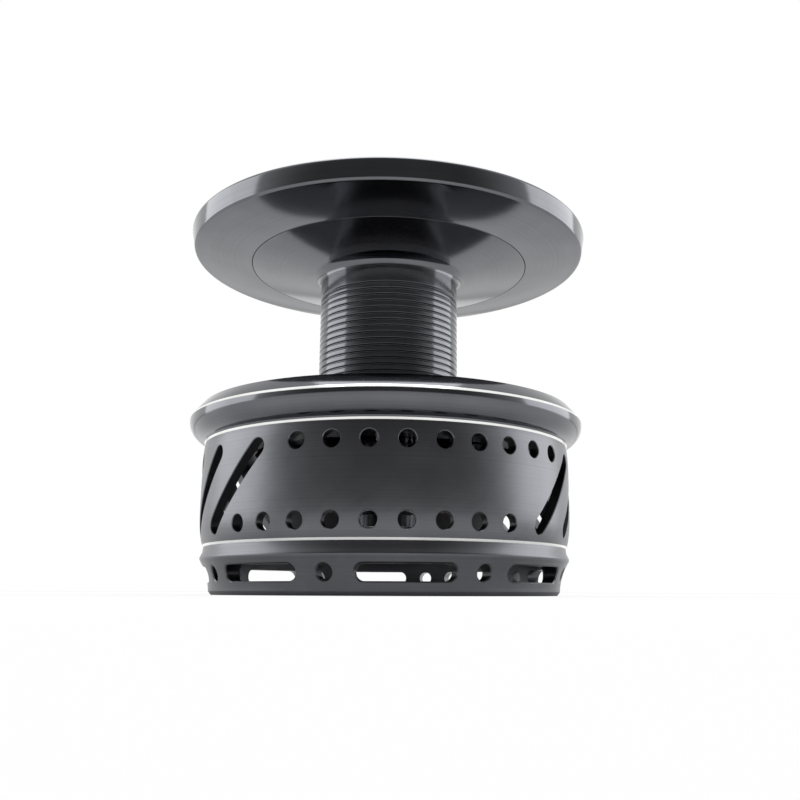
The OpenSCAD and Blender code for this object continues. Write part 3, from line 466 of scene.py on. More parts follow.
def carbon_cloth(name, colour):
    """Carbon-fibre drag cloth, a 2 by 2 twill of 2 mm tows in resin: each tow crosses two, and one step aside
    on each row,
    so the gloss runs in diagonal ribs. The tows of one direction are painted lighter than those crossing them:
    a painted sheen. It is drawn at its real size."""
    material = bpy.data.materials.new(name)
    material.use_nodes = True
    tree = material.node_tree
    tree.nodes.clear()
    place = add(tree, "ShaderNodeTexCoord").outputs["Object"]
    tow = add(tree, "ShaderNodeMapping", {"Vector": place, "Scale": (500, 500, 500)})
    across = add(tree, "ShaderNodeSeparateXYZ", {0: tow})
    column = add(tree, "ShaderNodeMath", {0: across.outputs["X"]}, operation="FLOOR")
    row = add(tree, "ShaderNodeMath", {0: across.outputs["Y"]}, operation="FLOOR")
    step = add(tree, "ShaderNodeMath", {0: column, 1: row}, operation="ADD")
    phase = add(tree, "ShaderNodeMath", {0: step, 1: 4.0}, operation="FLOORED_MODULO")
    warp = add(tree, "ShaderNodeMath", {0: phase, 1: 1.5}, operation="GREATER_THAN")
    in_x = add(tree, "ShaderNodeMath", {0: across.outputs["X"]}, operation="PINGPONG")
    in_y = add(tree, "ShaderNodeMath", {0: across.outputs["Y"]}, operation="PINGPONG")
    in_x.inputs[1].default_value = in_y.inputs[1].default_value = 0.5
    crown = add(tree, "ShaderNodeMix", {0: warp, 2: in_y, 3: in_x})
    fibres = add(tree, "ShaderNodeTexNoise", {"Vector": tow, "Scale": 9.0, "Detail": 2.0})
    lift = add(tree, "ShaderNodeMath", {0: crown.outputs[0], 1: fibres.outputs[0]}, operation="ADD")
    # Painted sheen: the tows of one direction are painted lighter and those crossing them darker, for the light
    # that fibres catch along their run
    hue = add(
        tree, "ShaderNodeMix", {"Factor": warp, 6: shade(colour, 0.7), 7: shade(colour, 1.5)}, data_type="RGBA"
    ).outputs[2]
    gloss = add(tree, "ShaderNodeMapRange", {"Value": fibres.outputs[0], "To Min": 0.3, "To Max": 0.5})
    bump = add(tree, "ShaderNodeBump", {"Height": lift, "Distance": 0.05 * MM, "Strength": 0.6})
    shader = add(
        tree, "ShaderNodeBsdfPrincipled", {"Base Color": hue, "Roughness": gloss, "IOR": 1.55, "Normal": bump}
    )
    add(tree, "ShaderNodeOutputMaterial", {"Surface": shader})
    return material


def lapped_steel(name, colour):
    """Stainless washer lapped flat on a plate: fine crossed scratches with no direction, and a satin gloss.
    The real grit leaves marks of some hundredths of a millimetre; they are drawn at 0.2 mm, so that they
    show."""
    material = bpy.data.materials.new(name)
    material.use_nodes = True
    tree = material.node_tree
    tree.nodes.clear()
    place = add(tree, "ShaderNodeTexCoord").outputs["Object"]
    scratches = add(
        tree, "ShaderNodeTexNoise", {"Vector": place, "Scale": 1 / (0.2 * MM), "Detail": 4.0, "Distortion": 1.5}
    )
    patches = add(tree, "ShaderNodeTexNoise", {"Vector": place, "Scale": 1 / (4 * MM), "Detail": 2.0})
    hue = add(
        tree,
        "ShaderNodeMix",
        {"Factor": patches.outputs[0], 6: shade(colour, 0.85), 7: shade(colour, 1.1)},
        data_type="RGBA",
    ).outputs[2]
    gloss = add(
        tree,
        "ShaderNodeMapRange",
        {"Value": scratches.outputs[0], "From Min": 0.3, "From Max": 0.7, "To Min": 0.22, "To Max": 0.42},
    )
    bump = add(
        tree, "ShaderNodeBump", {"Height": scratches.outputs[0], "Distance": 0.004 * MM, "Strength": 1.0}
    )
    shader = add(
        tree,
        "ShaderNodeBsdfPrincipled",
        {"Base Color": hue, "Metallic": 1.0, "Roughness": gloss, "Normal": bump},
    )
    add(tree, "ShaderNodeOutputMaterial", {"Surface": shader})
    return material


def dress(nodes, material):
    """Gives CAD nodes a finish in place of their own."""
    for node in nodes:
        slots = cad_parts[node].data.materials
        slots.clear()
        slots.append(material)


class Maker:
    """What every maker operator shares: it belongs to the scene and can be undone."""

    bl_options = {"REGISTER", "UNDO"}


# ---- Spool body ----

BODY_TURN = np.arange(288) * 1.25


def lip_under(radius, levels):
    """Height of the lip's cone-shaped underside at a radius: it falls by tan(slope) from the edge inwards."""
    return levels.lip_low - (levels.lip_radius - levels.lip_lean - radius) * math.tan(levels.lip_slope)


def arbor_section(levels, sizes):
    """Half section of the arbor from the rear fillet to the front one. Each ring is a V with rounded shoulders:
    eight points whose depth rises from 0 at its shoulders to the groove's depth at the middle."""
    radius, fillet = sizes.arbor_radius, sizes.arbor_fillet
    middle = radius + fillet
    slope_rear, slope_front = sizes.flange_slope, levels.lip_slope
    low = (
        levels.rim_top
        + (sizes.rim_bevel_radius - middle) * math.tan(slope_rear)
        + fillet / math.cos(slope_rear)
    )
    high = lip_under(middle, levels) - fillet / math.cos(slope_front)
    top = high - sizes.plain_collar
    count = math.floor((top - low - sizes.groove_width) / sizes.groove_pitch) + 1
    centres = top - np.arange(count)[::-1, None] * sizes.groove_pitch
    along = np.array([-0.62, -0.5, -0.37, -0.1, 0.1, 0.37, 0.5, 0.62]) * sizes.groove_width
    deep = np.array([0, 0.07, 0.27, 0.88, 0.88, 0.27, 0.07, 0]) * sizes.groove_depth
    z = centres + along
    grooves = np.stack([np.broadcast_to(radius - deep, z.shape), z], axis=-1).reshape(-1, 2)
    rear = arc(middle, low, fillet, 270 - math.degrees(slope_rear), 180, 10)
    front = arc(middle, high, fillet, 180, 90 + math.degrees(slope_front), 10)
    return np.vstack([rear, grooves, front])


def body_section(levels, sizes):
    """Half section of the body from the drag floor round the outside to the recess floor."""
    rim_top, bevel = levels.rim_top, sizes.rim_bevel_height
    round_z = levels.rim_low + sizes.rim_round + 0.5 * MM
    round_r = sizes.rim_radius - sizes.rim_round
    low_r = levels.rim_low_radius
    start = -math.degrees(math.acos((low_r + 0.3 * MM - round_r) / sizes.rim_round))
    rim = arc(round_r, round_z, sizes.rim_round, start, 0, 16)
    line_top = levels.rim_low + sizes.bright_line
    edge = rim_top - bevel - 0.9 * sizes.bright_width
    rebate_r, spigot_z = low_r - sizes.rebate_depth, levels.spigot_top
    pocket_r, pocket_z = sizes.pocket_radius, sizes.pocket_top
    bore, hub, hub_z = sizes.bore_radius, sizes.hub_radius, sizes.hub_low
    clip_r, clip_low, clip_high = bore + sizes.clip_depth, sizes.clip_low, sizes.clip_low + sizes.clip_width
    floor_z, seat_top = sizes.cavity_floor, sizes.cavity_floor - sizes.web
    recess_z = levels.lip_top - sizes.recess_depth
    seam = levels.seam_radius
    return outline(
        (
            [
                (sizes.cavity_radius, floor_z),
                (sizes.web_hole, floor_z),
                (sizes.web_hole, seat_top),
                (bore, seat_top),
            ],
            0,
        ),
        ([(bore, clip_high), (clip_r, clip_high), (clip_r, clip_low), (bore, clip_low)], 0),
        ([(bore, hub_z), (hub, hub_z), (hub, pocket_z), (pocket_r, pocket_z), (pocket_r, spigot_z)], 0),
        ([(rebate_r, spigot_z), (rebate_r, levels.rim_low)], 0),
        ([(low_r, levels.rim_low)], BRIGHT),
        ([(low_r + 0.19 * MM, line_top)], 0),
        (rim, 0),
        ([(sizes.rim_radius, edge)], BRIGHT),
        ([(sizes.rim_radius - 0.66 * 0.38 * MM, rim_top - bevel)], 0),
        ([(sizes.rim_bevel_radius, rim_top)], 0),
        (arbor_section(levels, sizes), 0),
        ([(seam, lip_under(seam, levels)), (seam, levels.ledge_low)], 0),
        ([(levels.collar_radius, levels.ledge_low), (levels.collar_radius, levels.lip_top)], 0),
        ([(sizes.recess_radius, levels.lip_top), (sizes.recess_radius, recess_z), (CAVITY_EDGE, recess_z)], 0),
    )


# Radius of the recess floor's border round the drag cavity
CAVITY_EDGE = 13 * MM
# Places of the clicker's two posts, and how deep they run into the web
POSTS = ((14 * MM, -15.57 * MM), (3.2 * MM, -21.17 * MM))
POST_ROOT = 0.5 * MM


def notched_ring(radius, half, reach, z):
    """A circle with a square notch at every quarter turn. Within 5 degrees of a notch's middle the points run
    along its back,
    up to 7.5 degrees along its sides, and beyond on the circle, whose points close up a little towards the
    notch."""
    quarter = (BODY_TURN + 45) % 90 - 45
    middle = BODY_TURN - quarter
    side = np.abs(quarter)
    corner = math.degrees(math.asin(half / radius))
    angle = np.interp(side, [0, 7.5, 20, 45], [0, corner, 20, 45]) * np.sign(quarter)
    ring = around(radius, middle + angle, z)
    across = np.interp(side, [0, 5, 7.5], [0, half, half]) * np.sign(quarter)
    out = np.interp(side, [5, 7.5], [reach, math.sqrt(radius**2 - half**2)])
    a = np.radians(middle)
    notch = np.column_stack(
        [out * np.sin(a) + across * np.cos(a), across * np.sin(a) - out * np.cos(a), np.full(len(a), z)]
    )
    return np.where((side <= 7.5)[:, None], notch, ring), ring


class SPOOL_OT_body(Maker, bpy.types.Operator):
    """Turn the spool body: arbor with its rings, rear flange, hub, and the drag cavity with its four ear
    slots"""

    bl_idname = "spool.body"
    bl_label = "Spool body"

    def execute(self, context):
        scene = context.scene
        levels, sizes, finish = scene.spool_levels, scene.spool_body, scene.spool_finishes
        shell = Shell()
        points, marks = soften(*body_section(levels, sizes), levels.edge_round)
        shell.add(turned(points, BODY_TURN), marks[:-1], loop=True)
        # The cavity's wall, up from the drag floor: plain to the slots' floor, then notched, with the snap
        # ring's groove and a chamfer
        radius, half, reach = sizes.cavity_radius, sizes.ear_slot_half, sizes.ear_slot_reach
        recess_z, groove = levels.lip_top - sizes.recess_depth, sizes.snap_height
        inside, beside = sizes.snap_half, sizes.snap_half + 0.06 * MM
        notched, plain = notched_ring(radius, half, reach, sizes.ear_slot_floor)
        shell.add(np.stack([around(radius, BODY_TURN, sizes.cavity_floor), plain]), loop=True)
        wall = [notched]
        for deep, z in ((0, -beside), (sizes.snap_depth, -inside), (sizes.snap_depth, inside), (0, beside)):
            wall.append(notched_ring(radius + deep, half, reach, groove + z)[0])
        wall.append(notched_ring(radius, half, reach, recess_z - 0.4 * MM)[0])
        wall.append(notched_ring(radius + 0.32 * MM, half, reach, recess_z - 0.08 * MM)[0])
        wall.append(notched_ring(radius + 0.4 * MM, half + 0.08 * MM, reach + 0.08 * MM, recess_z)[0])
        wall.append(around(CAVITY_EDGE, BODY_TURN, recess_z))
        shell.add(np.stack(wall), loop=True)
        span = np.arange(-6, 7)
        floor = np.stack([plain[span], notched[span]])
        shell.repeat(floor, (0, 90, 180, 270))
        # Two posts for the clicker hang from the flange's web
        for x, y in POSTS:
            self.post(shell, x, y, sizes.post_radius, sizes.post_low, sizes.pocket_top + POST_ROOT)
        # Black dye in the oxide over fine turning: deep and nearly mirror-like, with faint rings
        anodised = turned_metal(
            "turned black anodised aluminium", finish.black, finish.turned_roughness, 0.3, 0.0006
        )
        # Edges cut with a diamond after anodising: bare metal, a thin white line
        bright = turned_metal(
            "diamond-cut aluminium", finish.bright, finish.bright_roughness, 0.12, 0.0003, swirl=0.0
        )
        piece = shell.build("turned_body", (anodised, bright))
        stand_for(piece, "spool_body", "spool")
        return {"FINISHED"}

    def post(self, shell, x, y, radius, low, high):
        """A closed round post: its half section, with a chamfered end, carried round its own axis."""
        chamfer = 0.2 * MM
        section = np.array(
            [(0, low), (radius - chamfer, low), (radius, low + chamfer), (radius, high), (0, high)]
        )
        a = np.linspace(0, 360, 48, endpoint=False)
        shell.add(turned(section, a) + np.array([x, y, 0]), loop=True)


# ---- Cells: pieces of a wall, each with one cut through it ----


def frame_path(left, right, low, high, across, up):
    """The border of a cell, as (angle, height) pairs from its lower left corner along the bottom, up the right,
    back along the top and down the left,
    in even steps: so many across and so many up."""
    x = np.linspace(left, right, across + 1)
    y = np.linspace(low, high, up + 1)
    return np.vstack(
        [
            np.column_stack([x[:-1], np.full(across, low)]),
            np.column_stack([np.full(up, right), y[:-1]]),
            np.column_stack([x[:0:-1], np.full(across, high)]),
            np.column_stack([np.full(up, left), y[:0:-1]]),
        ]
    )


def round_bearings(border, angle, height, radius):
    """The bearing of each point of a round cut, in degrees: halfway between the bearing of the border's point
    from the cut's centre
    and even steps round the circle, so that the cut stays round and the cell's lines stay straight."""
    seen = np.unwrap(np.arctan2(border[:, 1] - height, np.radians(border[:, 0] - angle) * radius))
    even = np.arange(len(border)) * 2 * math.pi / len(border)
    even += (seen - even).mean()
    return np.degrees((seen + even) / 2)


def on_wall(base, lateral, radius):
    """Angle at which a point that lies lateral to the radius at angle base meets a wall of that radius: base +
    asin(lateral / radius)."""
    return base + np.degrees(np.arcsin(lateral / radius))


def pierced(outer_border, inner_border, cut, chamfer, outer_wall, inner_wall, rows=7):
    """A sheet from a cell's outer border to its cut, over the chamfer, through the wall and out to the inner
    border.
    A face's point is w * border + (1 - w) * cut in angle and height, and lies on the wall's radius at that
    height.
    cut(widen) gives the base angle, lateral distance and height of the cut's outline, widened by so much."""
    weights = np.linspace(1, 0, rows) ** 1.4
    sheet = []
    for border, wall, widen in ((outer_border, outer_wall, chamfer), (inner_border, inner_wall, 0)):
        base, lateral, z = cut(widen)
        edge = np.column_stack([on_wall(base, lateral, wall(z)), z])
        face = weights[:, None, None] * border + (1 - weights)[:, None, None] * edge
        sheet.append(around(wall(face[..., 1]), face[..., 0], face[..., 1]))
    base, lateral, z = cut(0)
    depth = outer_wall(z) - chamfer
    lip = around(depth, on_wall(base, lateral, depth), z)
    return np.concatenate([sheet[0], lip[None], sheet[1][::-1]])


# ---- Skirt ----

SKIRT_TURN = np.arange(360.0)
# Turn of the drum's columns and of the lower ring's windows, in degrees
DRUM_TURN, WINDOW_TURN = 0.3, 5.7
# The columns lean by this much from the lower row to the upper one
LEAN = 20.0
# Columns of round holes and of slots in one half turn, and where one slot's cell meets the next
HOLE_RUN = DRUM_TURN - 45 + 10.0 * np.arange(9)
SLOT_RUN = DRUM_TURN + 48 + 18.5 * np.arange(5)
SLOT_BORDERS = DRUM_TURN + np.array([40, 57, 76, 94, 113, 130])
# Lower and upper border of the lower ring's cells, and half a window cell's width in degrees
RING_LOW, RING_HIGH = 1.2 * MM, 5.6 * MM
WINDOW_CELL = 16.5
# Height where the drum's inside narrows to the lower ring
INNER_LOW = 8.945 * MM


def drum_wall(z, levels, sizes):
    """The drum's radius at a height: its largest radius less a power of the distance from its widest height,
    0.65 mm down at its lower edge and 0.3 mm down at its top."""
    widest, low = levels.drum_low + 12 * MM, levels.drum_low + 0.38 * MM
    below = np.clip((widest - z) / (widest - low), 0, None) ** 5.3 * (sizes.drum_radius - sizes.drum_low_radius)
    above = np.clip((z - widest) / (levels.rim_low - widest), 0, None) ** 3.3 * (
        sizes.drum_radius - levels.rim_low_radius
    )
    return sizes.drum_radius - below - above


def cove(sizes):
    """Centre radius and radius of the cove under the bead: an arc that stands upright at the foot and runs into
    the bead's nose."""
    both = (sizes.bead_reach**2 + sizes.bead_height**2) / (2 * sizes.bead_reach)
    radius = both - sizes.bead_nose
    return sizes.base_radius + radius, radius, 180 - math.degrees(math.asin(sizes.bead_height / both))


def cove_wall(z, sizes):
    """The cove's radius at a height: centre - sqrt(radius^2 - z^2)."""
    centre, radius, _ = cove(sizes)
    return centre - np.sqrt(radius**2 - np.minimum(z, 0.9 * radius) ** 2)


class SPOOL_OT_skirt(Maker, bpy.types.Operator):
    """Turn the skirt and cut its rows of holes, slanted slots and long windows, each with a chamfered edge"""

    bl_idname = "spool.skirt"
    bl_label = "Skirt"

    def execute(self, context):
        scene = context.scene
        levels, sizes, finish = scene.spool_levels, scene.spool_skirt, scene.spool_finishes
        shell = Shell()
        self.drum(shell, levels, sizes)
        self.ring(shell, sizes)
        self.plain_strips(shell, levels, sizes)
        # The same dye over a satin surface: an even grey sheen with no sharp reflections
        anodised = turned_metal(
            "turned black anodised skirt", finish.black_skirt, finish.skirt_roughness, 0.3, 0.0012
        )
        bright = bpy.data.materials["diamond-cut aluminium"]
        piece = shell.build("pierced_skirt", (anodised, bright))
        stand_for(piece, "skirt", "spool")
        return {"FINISHED"}

    def drum(self, shell, levels, sizes):
        """Cells of the drum. In angles less the lean, every hole and slot stands in an upright column."""
        low, high = levels.drum_low + sizes.bright_line, levels.rim_low
        middle = (sizes.upper_row + sizes.lower_row) / 2
        inner_low, inner_high = INNER_LOW, sizes.flange_low
        corner = sizes.flange_low - MM
        outer = lambda z: drum_wall(z, levels, sizes)
        inner = lambda z: sizes.drum_inner_radius - np.clip(z - corner, 0, None)
        knots = [sizes.lower_row, sizes.upper_row]

        def lean(path, ends, turns):
            heights = [ends[0], *knots, ends[1]]
            shift = np.interp(path[:, 1], heights, [turns[0], 0, LEAN, turns[1]])
            return np.column_stack([path[:, 0] + shift, path[:, 1]])

        def borders(left, right, floor, ceiling, across, up):
            """The same cell's border on the outer and the inner face."""
            out = frame_path(
                left, right, low if floor is None else floor, high if ceiling is None else ceiling, across, up
            )
            within = frame_path(
                left,
                right,
                inner_low if floor is None else floor,
                inner_high if ceiling is None else ceiling,
                across,
                up,
            )
            return lean(out, (low, high), (-4.1, 24.68)), lean(within, (inner_low, inner_high), (-3.1, 22.68))

        half_turns = np.array([0.0, 180.0])
        # Round holes: a lower and an upper cell in each column
        for floor, ceiling, row, turn in (
            (None, middle, sizes.lower_row, 0.0), (middle, None, sizes.upper_row, LEAN)
        ):
            out, within = borders(-5, 5, floor, ceiling, 10, 20)
            phi = np.radians(round_bearings(out, turn, row, sizes.drum_radius))

            def hole(widen):
                r = sizes.hole_diameter / 2 + widen
                return turn, r * np.cos(phi), row + r * np.sin(phi)

            grid = pierced(out, within, hole, sizes.hole_chamfer, outer, inner)
            shell.repeat(grid, np.add.outer(half_turns, HOLE_RUN).ravel(), loop=True)
        # Slanted slots: one cell the full height, narrower beside the round holes
        reach = sizes.drum_radius * math.sin(math.radians(LEAN / 2))
        slot_top = sizes.upper_row - sizes.slot_top_drop
        slot_middle, rise = (slot_top + sizes.lower_row) / 2, (slot_top - sizes.lower_row) / 2
        tilt = math.degrees(math.atan2(rise, reach))
        for turn, start, end in zip(SLOT_RUN, SLOT_BORDERS[:-1], SLOT_BORDERS[1:]):
            left, right = start - turn, end - turn
            across, up = round(right - left), 40
            halves = [
                borders(left, right, None, middle, across, 20), borders(left, right, middle, None, across, 20)
            ]
            out, within = (self.stack(lower, upper, across, 20) for lower, upper in zip(*halves))
            rising = np.linspace(-1, 1, up + 1)[:-1]
            along = np.concatenate([np.full(across, -1.0), rising, np.full(across, 1.0), -rising])
            swing = np.linspace(0, 180, across + 1)[:-1]
            phi = np.radians(
                tilt + np.concatenate([90 + swing, np.full(up, 270.0), 270 + swing, np.full(up, 450.0)])
            )

            def slot(widen):
                r = sizes.slot_width / 2 + widen
                return LEAN / 2, along * reach + r * np.cos(phi), slot_middle + along * rise + r * np.sin(phi)

            grid = pierced(out, within, slot, sizes.hole_chamfer, outer, inner)
            shell.repeat(grid, half_turns + turn, loop=True)

    def stack(self, lower, upper, across, up):
        """Border of two cells that stand on each other, from their own borders."""
        return np.vstack(
            [
                lower[:across],
                lower[across : across + up],
                upper[across : across + up],
                upper[across + up : 2 * across + up],
                upper[2 * across + up :],
                lower[2 * across + up :],
            ]
        )

    def ring(self, shell, sizes):
        """Cells of the lower ring: eight long windows with round ends, and a round hole between each two."""
        low, high = RING_LOW, RING_HIGH
        outer = lambda z: cove_wall(z, sizes)
        inner = lambda z: np.full_like(z, sizes.base_inner_radius)
        turns = WINDOW_TURN + 45.0 * np.arange(8)
        half, middle = sizes.window_height / 2, sizes.window_middle
        end = math.degrees(sizes.window_arc) / 2 - math.degrees(math.asin(half / sizes.base_radius))
        border = frame_path(-WINDOW_CELL, WINDOW_CELL, low, high, 33, 12)
        side = np.abs(border[:, 0])
        # Over the straight part a point stands straight over its border's; past it, it goes round the end
        bend = np.interp(side, [end, WINDOW_CELL], [0, 45])
        centre = (low + high) / 2
        past = np.degrees(np.arctan2(high - centre, np.abs(border[:, 1] - centre) + 1e-9))
        bend = np.where(side > WINDOW_CELL - 0.1, past, bend)
        upward = np.where(border[:, 1] > centre, 1, -1)
        phi = np.radians(np.where(border[:, 0] > 0, 90 - bend, 90 + bend) * upward)
        base = np.clip(border[:, 0], -end, end)

        def window(widen):
            r = half + widen
            return base, r * np.cos(phi), middle + r * np.sin(phi)

        shell.repeat(pierced(border, border, window, sizes.window_chamfer, outer, inner, 5), turns, loop=True)
        border = frame_path(-6, 6, low, high, 12, 12)
        bearings = np.radians(round_bearings(border, 0.0, middle, sizes.base_radius))

        def hole(widen):
            r = sizes.ring_hole_diameter / 2 + widen
            return 0.0, r * np.cos(bearings), middle + r * np.sin(bearings)

        shell.repeat(
            pierced(border, border, hole, sizes.window_chamfer, outer, inner, 6), turns + 22.5, loop=True
        )

    def plain_strips(self, shell, levels, sizes):
        """The turned bands between the rows of cells."""
        low_line, high = levels.drum_low + sizes.bright_line, levels.rim_low
        inner_r, base_in = sizes.drum_inner_radius, sizes.base_inner_radius
        centre, radius, cove_end = cove(sizes)
        spigot_r = levels.rim_low_radius - 0.75 * MM
        top = outline(
            ([(drum_wall(high, levels, sizes), high), (spigot_r, high)], 0),
            ([(spigot_r, levels.spigot_top), (sizes.flange_inner_radius, levels.spigot_top)], 0),
            ([(sizes.flange_inner_radius, sizes.flange_low), (inner_r - MM, sizes.flange_low)], 0),
        )
        points, marks = soften(*top, levels.edge_round)
        shell.add(turned(points, SKIRT_TURN + 0.98), marks[:-1], loop=True)
        nose_r = sizes.base_radius + sizes.bead_reach - sizes.bead_nose
        neck_r = sizes.drum_low_radius - 0.23 * MM
        nose = arc(nose_r, sizes.bead_height, sizes.bead_nose, 22, cove_end - 180, 10)
        under = arc(centre, 0, radius, cove_end, 180 - math.degrees(math.asin(RING_HIGH / radius)), 3)
        band = outline(
            (
                [
                    (drum_wall(low_line, levels, sizes), low_line),
                    (sizes.drum_low_radius, levels.drum_low + 0.38 * MM),
                ],
                BRIGHT,
            ),
            ([(neck_r, levels.drum_low), (neck_r + 0.1 * MM, levels.drum_low - 0.9 * MM)], 0),
            (nose, 0),
            (under[1:], 0),
        )
        points, marks = soften(*band, levels.edge_round)
        shell.add(turned(points, SKIRT_TURN + 0.2), marks[:-1], loop=True)
        z = np.linspace(RING_LOW, 0.63 * MM, 4)
        foot = outline(
            (np.column_stack([cove_wall(z, sizes), z]), 0),
            (
                [
                    (sizes.base_radius - 0.45 * MM, 0),
                    (base_in + 0.4 * MM, 0),
                    (base_in, 0.4 * MM),
                    (base_in, RING_LOW),
                ],
                0,
            ),
        )
        points, marks = soften(*foot, levels.edge_round)
        shell.add(turned(points, SKIRT_TURN + 0.2), marks[:-1], loop=True)
        cone = outline(
            ([(base_in, RING_HIGH), (base_in, INNER_LOW - inner_r + base_in), (inner_r, INNER_LOW)], 0),
        )
        points, marks = soften(*cone, levels.edge_round)
        shell.add(turned(points, SKIRT_TURN + 0.2), marks[:-1], loop=True)


# ---- Lip ring ----


class SPOOL_OT_lip_ring(Maker, bpy.types.Operator):
    """Turn the lip ring with its rolled bead, and sink its screw holes"""

    bl_idname = "spool.lip_ring"
    bl_label = "Lip ring"

    def execute(self, context):
        scene = context.scene
        levels, sizes, finish = scene.spool_levels, scene.spool_lip, scene.spool_finishes
        shell = Shell()
        top, bead, band_r = levels.lip_top, sizes.bead_height, levels.lip_radius
        seam, inside = levels.seam_radius + 0.1 * MM, levels.collar_radius + 0.01 * MM
        ledge = levels.ledge_low + 0.01 * MM
        near, far = 22.7 * MM, 26.6 * MM
        lower, lean = math.degrees(levels.lip_slope) - 90, -math.degrees(
            math.atan(levels.lip_lean / (top - levels.lip_low))
        )
        pull = sizes.edge_round / (1 + math.cos(math.radians(lean - lower)))
        a, b = math.radians(lower), math.radians(lean)
        edge_r = band_r - levels.lip_lean - pull * (math.cos(a) + math.cos(b))
        edge_z = levels.lip_low - pull * (math.sin(a) + math.sin(b))
        section = outline(
            ([(near, top), (inside, top), (inside, ledge), (seam, ledge), (seam, lip_under(seam, levels))], 0),
            (arc(edge_r, edge_z, sizes.edge_round, lower, lean, 8), 0),
            (arc(band_r - bead, top, bead, 0, 90, 10), 0),
            ([(band_r - sizes.bead_width, top + bead), (band_r - sizes.bead_width - bead, top), (far, top)], 0),
        )
        points, marks = soften(*section, levels.edge_round)
        shell.add(turned(points, SKIRT_TURN), marks[:-1], loop=True)
        self.screw_band(shell, levels, sizes, near, far)
        # The lip ring is anodised apart from the body, so its black is a shade lighter
        anodised = turned_metal(
            "turned black anodised lip", finish.black_lip, finish.turned_roughness, 0.3, 0.0006
        )
        piece = shell.build("turned_lip", (anodised, bpy.data.materials["diamond-cut aluminium"]))
        stand_for(piece, "lip_ring", "spool")
        return {"FINISHED"}

    def screw_band(self, shell, levels, sizes, near, far):
        """The front face round the screws: a cell with a countersink for each screw, and plain face between.
        A cell's point is w * border + (1 - w) * hole in angle and radius."""
        count, up, top = sizes.screw_count, 8, levels.lip_top
        first = 30.0
        border = frame_path(-5, 5, near, far, 10, up)
        bearings = np.radians(round_bearings(border, 0.0, sizes.screw_circle, sizes.screw_circle))

        def circle(radius):
            across, out = radius * np.cos(bearings), sizes.screw_circle + radius * np.sin(bearings)
            return np.column_stack([np.degrees(np.arctan2(across, out)), np.hypot(across, out)])

        head = sizes.screw_head + 0.03 * MM
        weights = (np.linspace(1, 0, 6) ** 1.3)[:, None, None]
        face = weights * border + (1 - weights) * circle(head + 0.08 * MM)
        rows = [around(face[..., 1], face[..., 0], top)]
        for radius, drop in ((head, 0.08), (head, 0.1), (1.1 * MM, 0.8), (1.1 * MM, 1.2), (0, 1.2)):
            ring = circle(radius)
            rows.append(around(ring[:, 1], ring[:, 0], top - drop * MM)[None])
        step = 360 / count
        turns = first + step * np.arange(count)
        shell.repeat(np.concatenate(rows), turns, loop=True)
        between = np.linspace(5, step - 5, round(step - 10) + 1)
        plain = around(np.linspace(near, far, up + 1)[:, None], between[None, :], top)
        shell.repeat(plain, turns)


# ---- CAD nodes that keep their solids ----


class SPOOL_OT_fasteners(Maker, bpy.types.Operator):
    """Give the screws and the clicker's pivot their stainless finish"""

    bl_idname = "spool.fasteners"
    bl_label = "Screws"

    def execute(self, context):
        finish = context.scene.spool_finishes
        steel = lapped_steel("rolled stainless screw", finish.stainless)
        dress(("lip_screws", "skirt_screws", "pawl_pivot", "spring_screw"), steel)
        return {"FINISHED"}


class SPOOL_OT_bearings(Maker, bpy.types.Operator):
    """Give both ball bearings ground rings, polished balls, brass cages and pressed shields"""

    bl_idname = "spool.bearings"
    bl_label = "Bearings"

    def execute(self, context):
        finish = context.scene.spool_finishes
        # Rings are ground and bright, balls lapped like mirrors, cages cut from brass and left warm and satin
        ground = turned_metal("ground bearing steel", finish.steel, 0.2, 0.1, 0.0005)
        polished = turned_metal(
            "polished ball steel", shade(finish.steel, 1.15)[:3], 0.06, 0.1, 0.00002, swirl=0.0
        )
        brass = turned_metal("machined brass", finish.brass, 0.28, 0.15, 0.001)
        pressed = lapped_steel("pressed stainless shield", finish.stainless)
        spacer = turned_metal("clear anodised aluminium", finish.clear, 0.32, 0.2, 0.001)
        blued = turned_metal("blued spring steel", finish.spring, 0.35, 0.25, 0.001, swirl=0.0)
        for end in ("front", "rear"):
            dress((f"{end}_bearing_outer", f"{end}_bearing_inner"), ground)
            dress((f"{end}_bearing_balls",), polished)
            dress((f"{end}_bearing_cage",), brass)
            dress((f"{end}_bearing_shields",), pressed)
        dress(("bearing_spacer",), spacer)
        dress(("gear_spacer",), brass)
        dress(("bearing_circlip", "gear_circlip"), blued)
        return {"FINISHED"}


class SPOOL_OT_drag(Maker, bpy.types.Operator):
    """Give the drag stack woven carbon washers, lapped steel washers and a bright snap ring"""

    bl_idname = "spool.drag"
    bl_label = "Drag stack"

    def execute(self, context):
        finish = context.scene.spool_finishes
        # Dull black cloth lies between flat satin steel, under a bright round wire
        cloth = carbon_cloth("woven carbon-fibre cloth", finish.carbon)
        lapped = lapped_steel("lapped stainless washer", finish.stainless)
        wire = turned_metal("drawn stainless wire", finish.steel, 0.2, 0.2, 0.0005, swirl=0.0)
        dress([f"carbon_washer_{i}" for i in (1, 2, 3, 4)], cloth)
        dress(("keyed_washer_1", "keyed_washer_2", "eared_washer", "pressure_washer"), lapped)
        dress(("snap_ring",), wire)
        return {"FINISHED"}


class SPOOL_OT_sleeve(Maker, bpy.types.Operator):
    """Give the sleeve its turned steel and the clicker its bronze and spring steel"""

    bl_idname = "spool.sleeve"
    bl_label = "Sleeve and clicker"

    def execute(self, context):
        finish = context.scene.spool_finishes
        # The sleeve is chemically blacked against rust; gear and pawl are dark bronze, which runs dry on steel
        sleeve = turned_metal("blacked steel sleeve", finish.blacked, 0.24, 0.16, 0.001)
        bronze = lapped_steel("milled hard bronze", finish.bronze)
        blade = lapped_steel("rolled spring strip", finish.steel)
        dress(("sleeve",), sleeve)
        dress(("click_gear", "click_pawl"), bronze)
        dress(("pawl_spring",), blade)
        return {"FINISHED"}


# ---- Stage ----


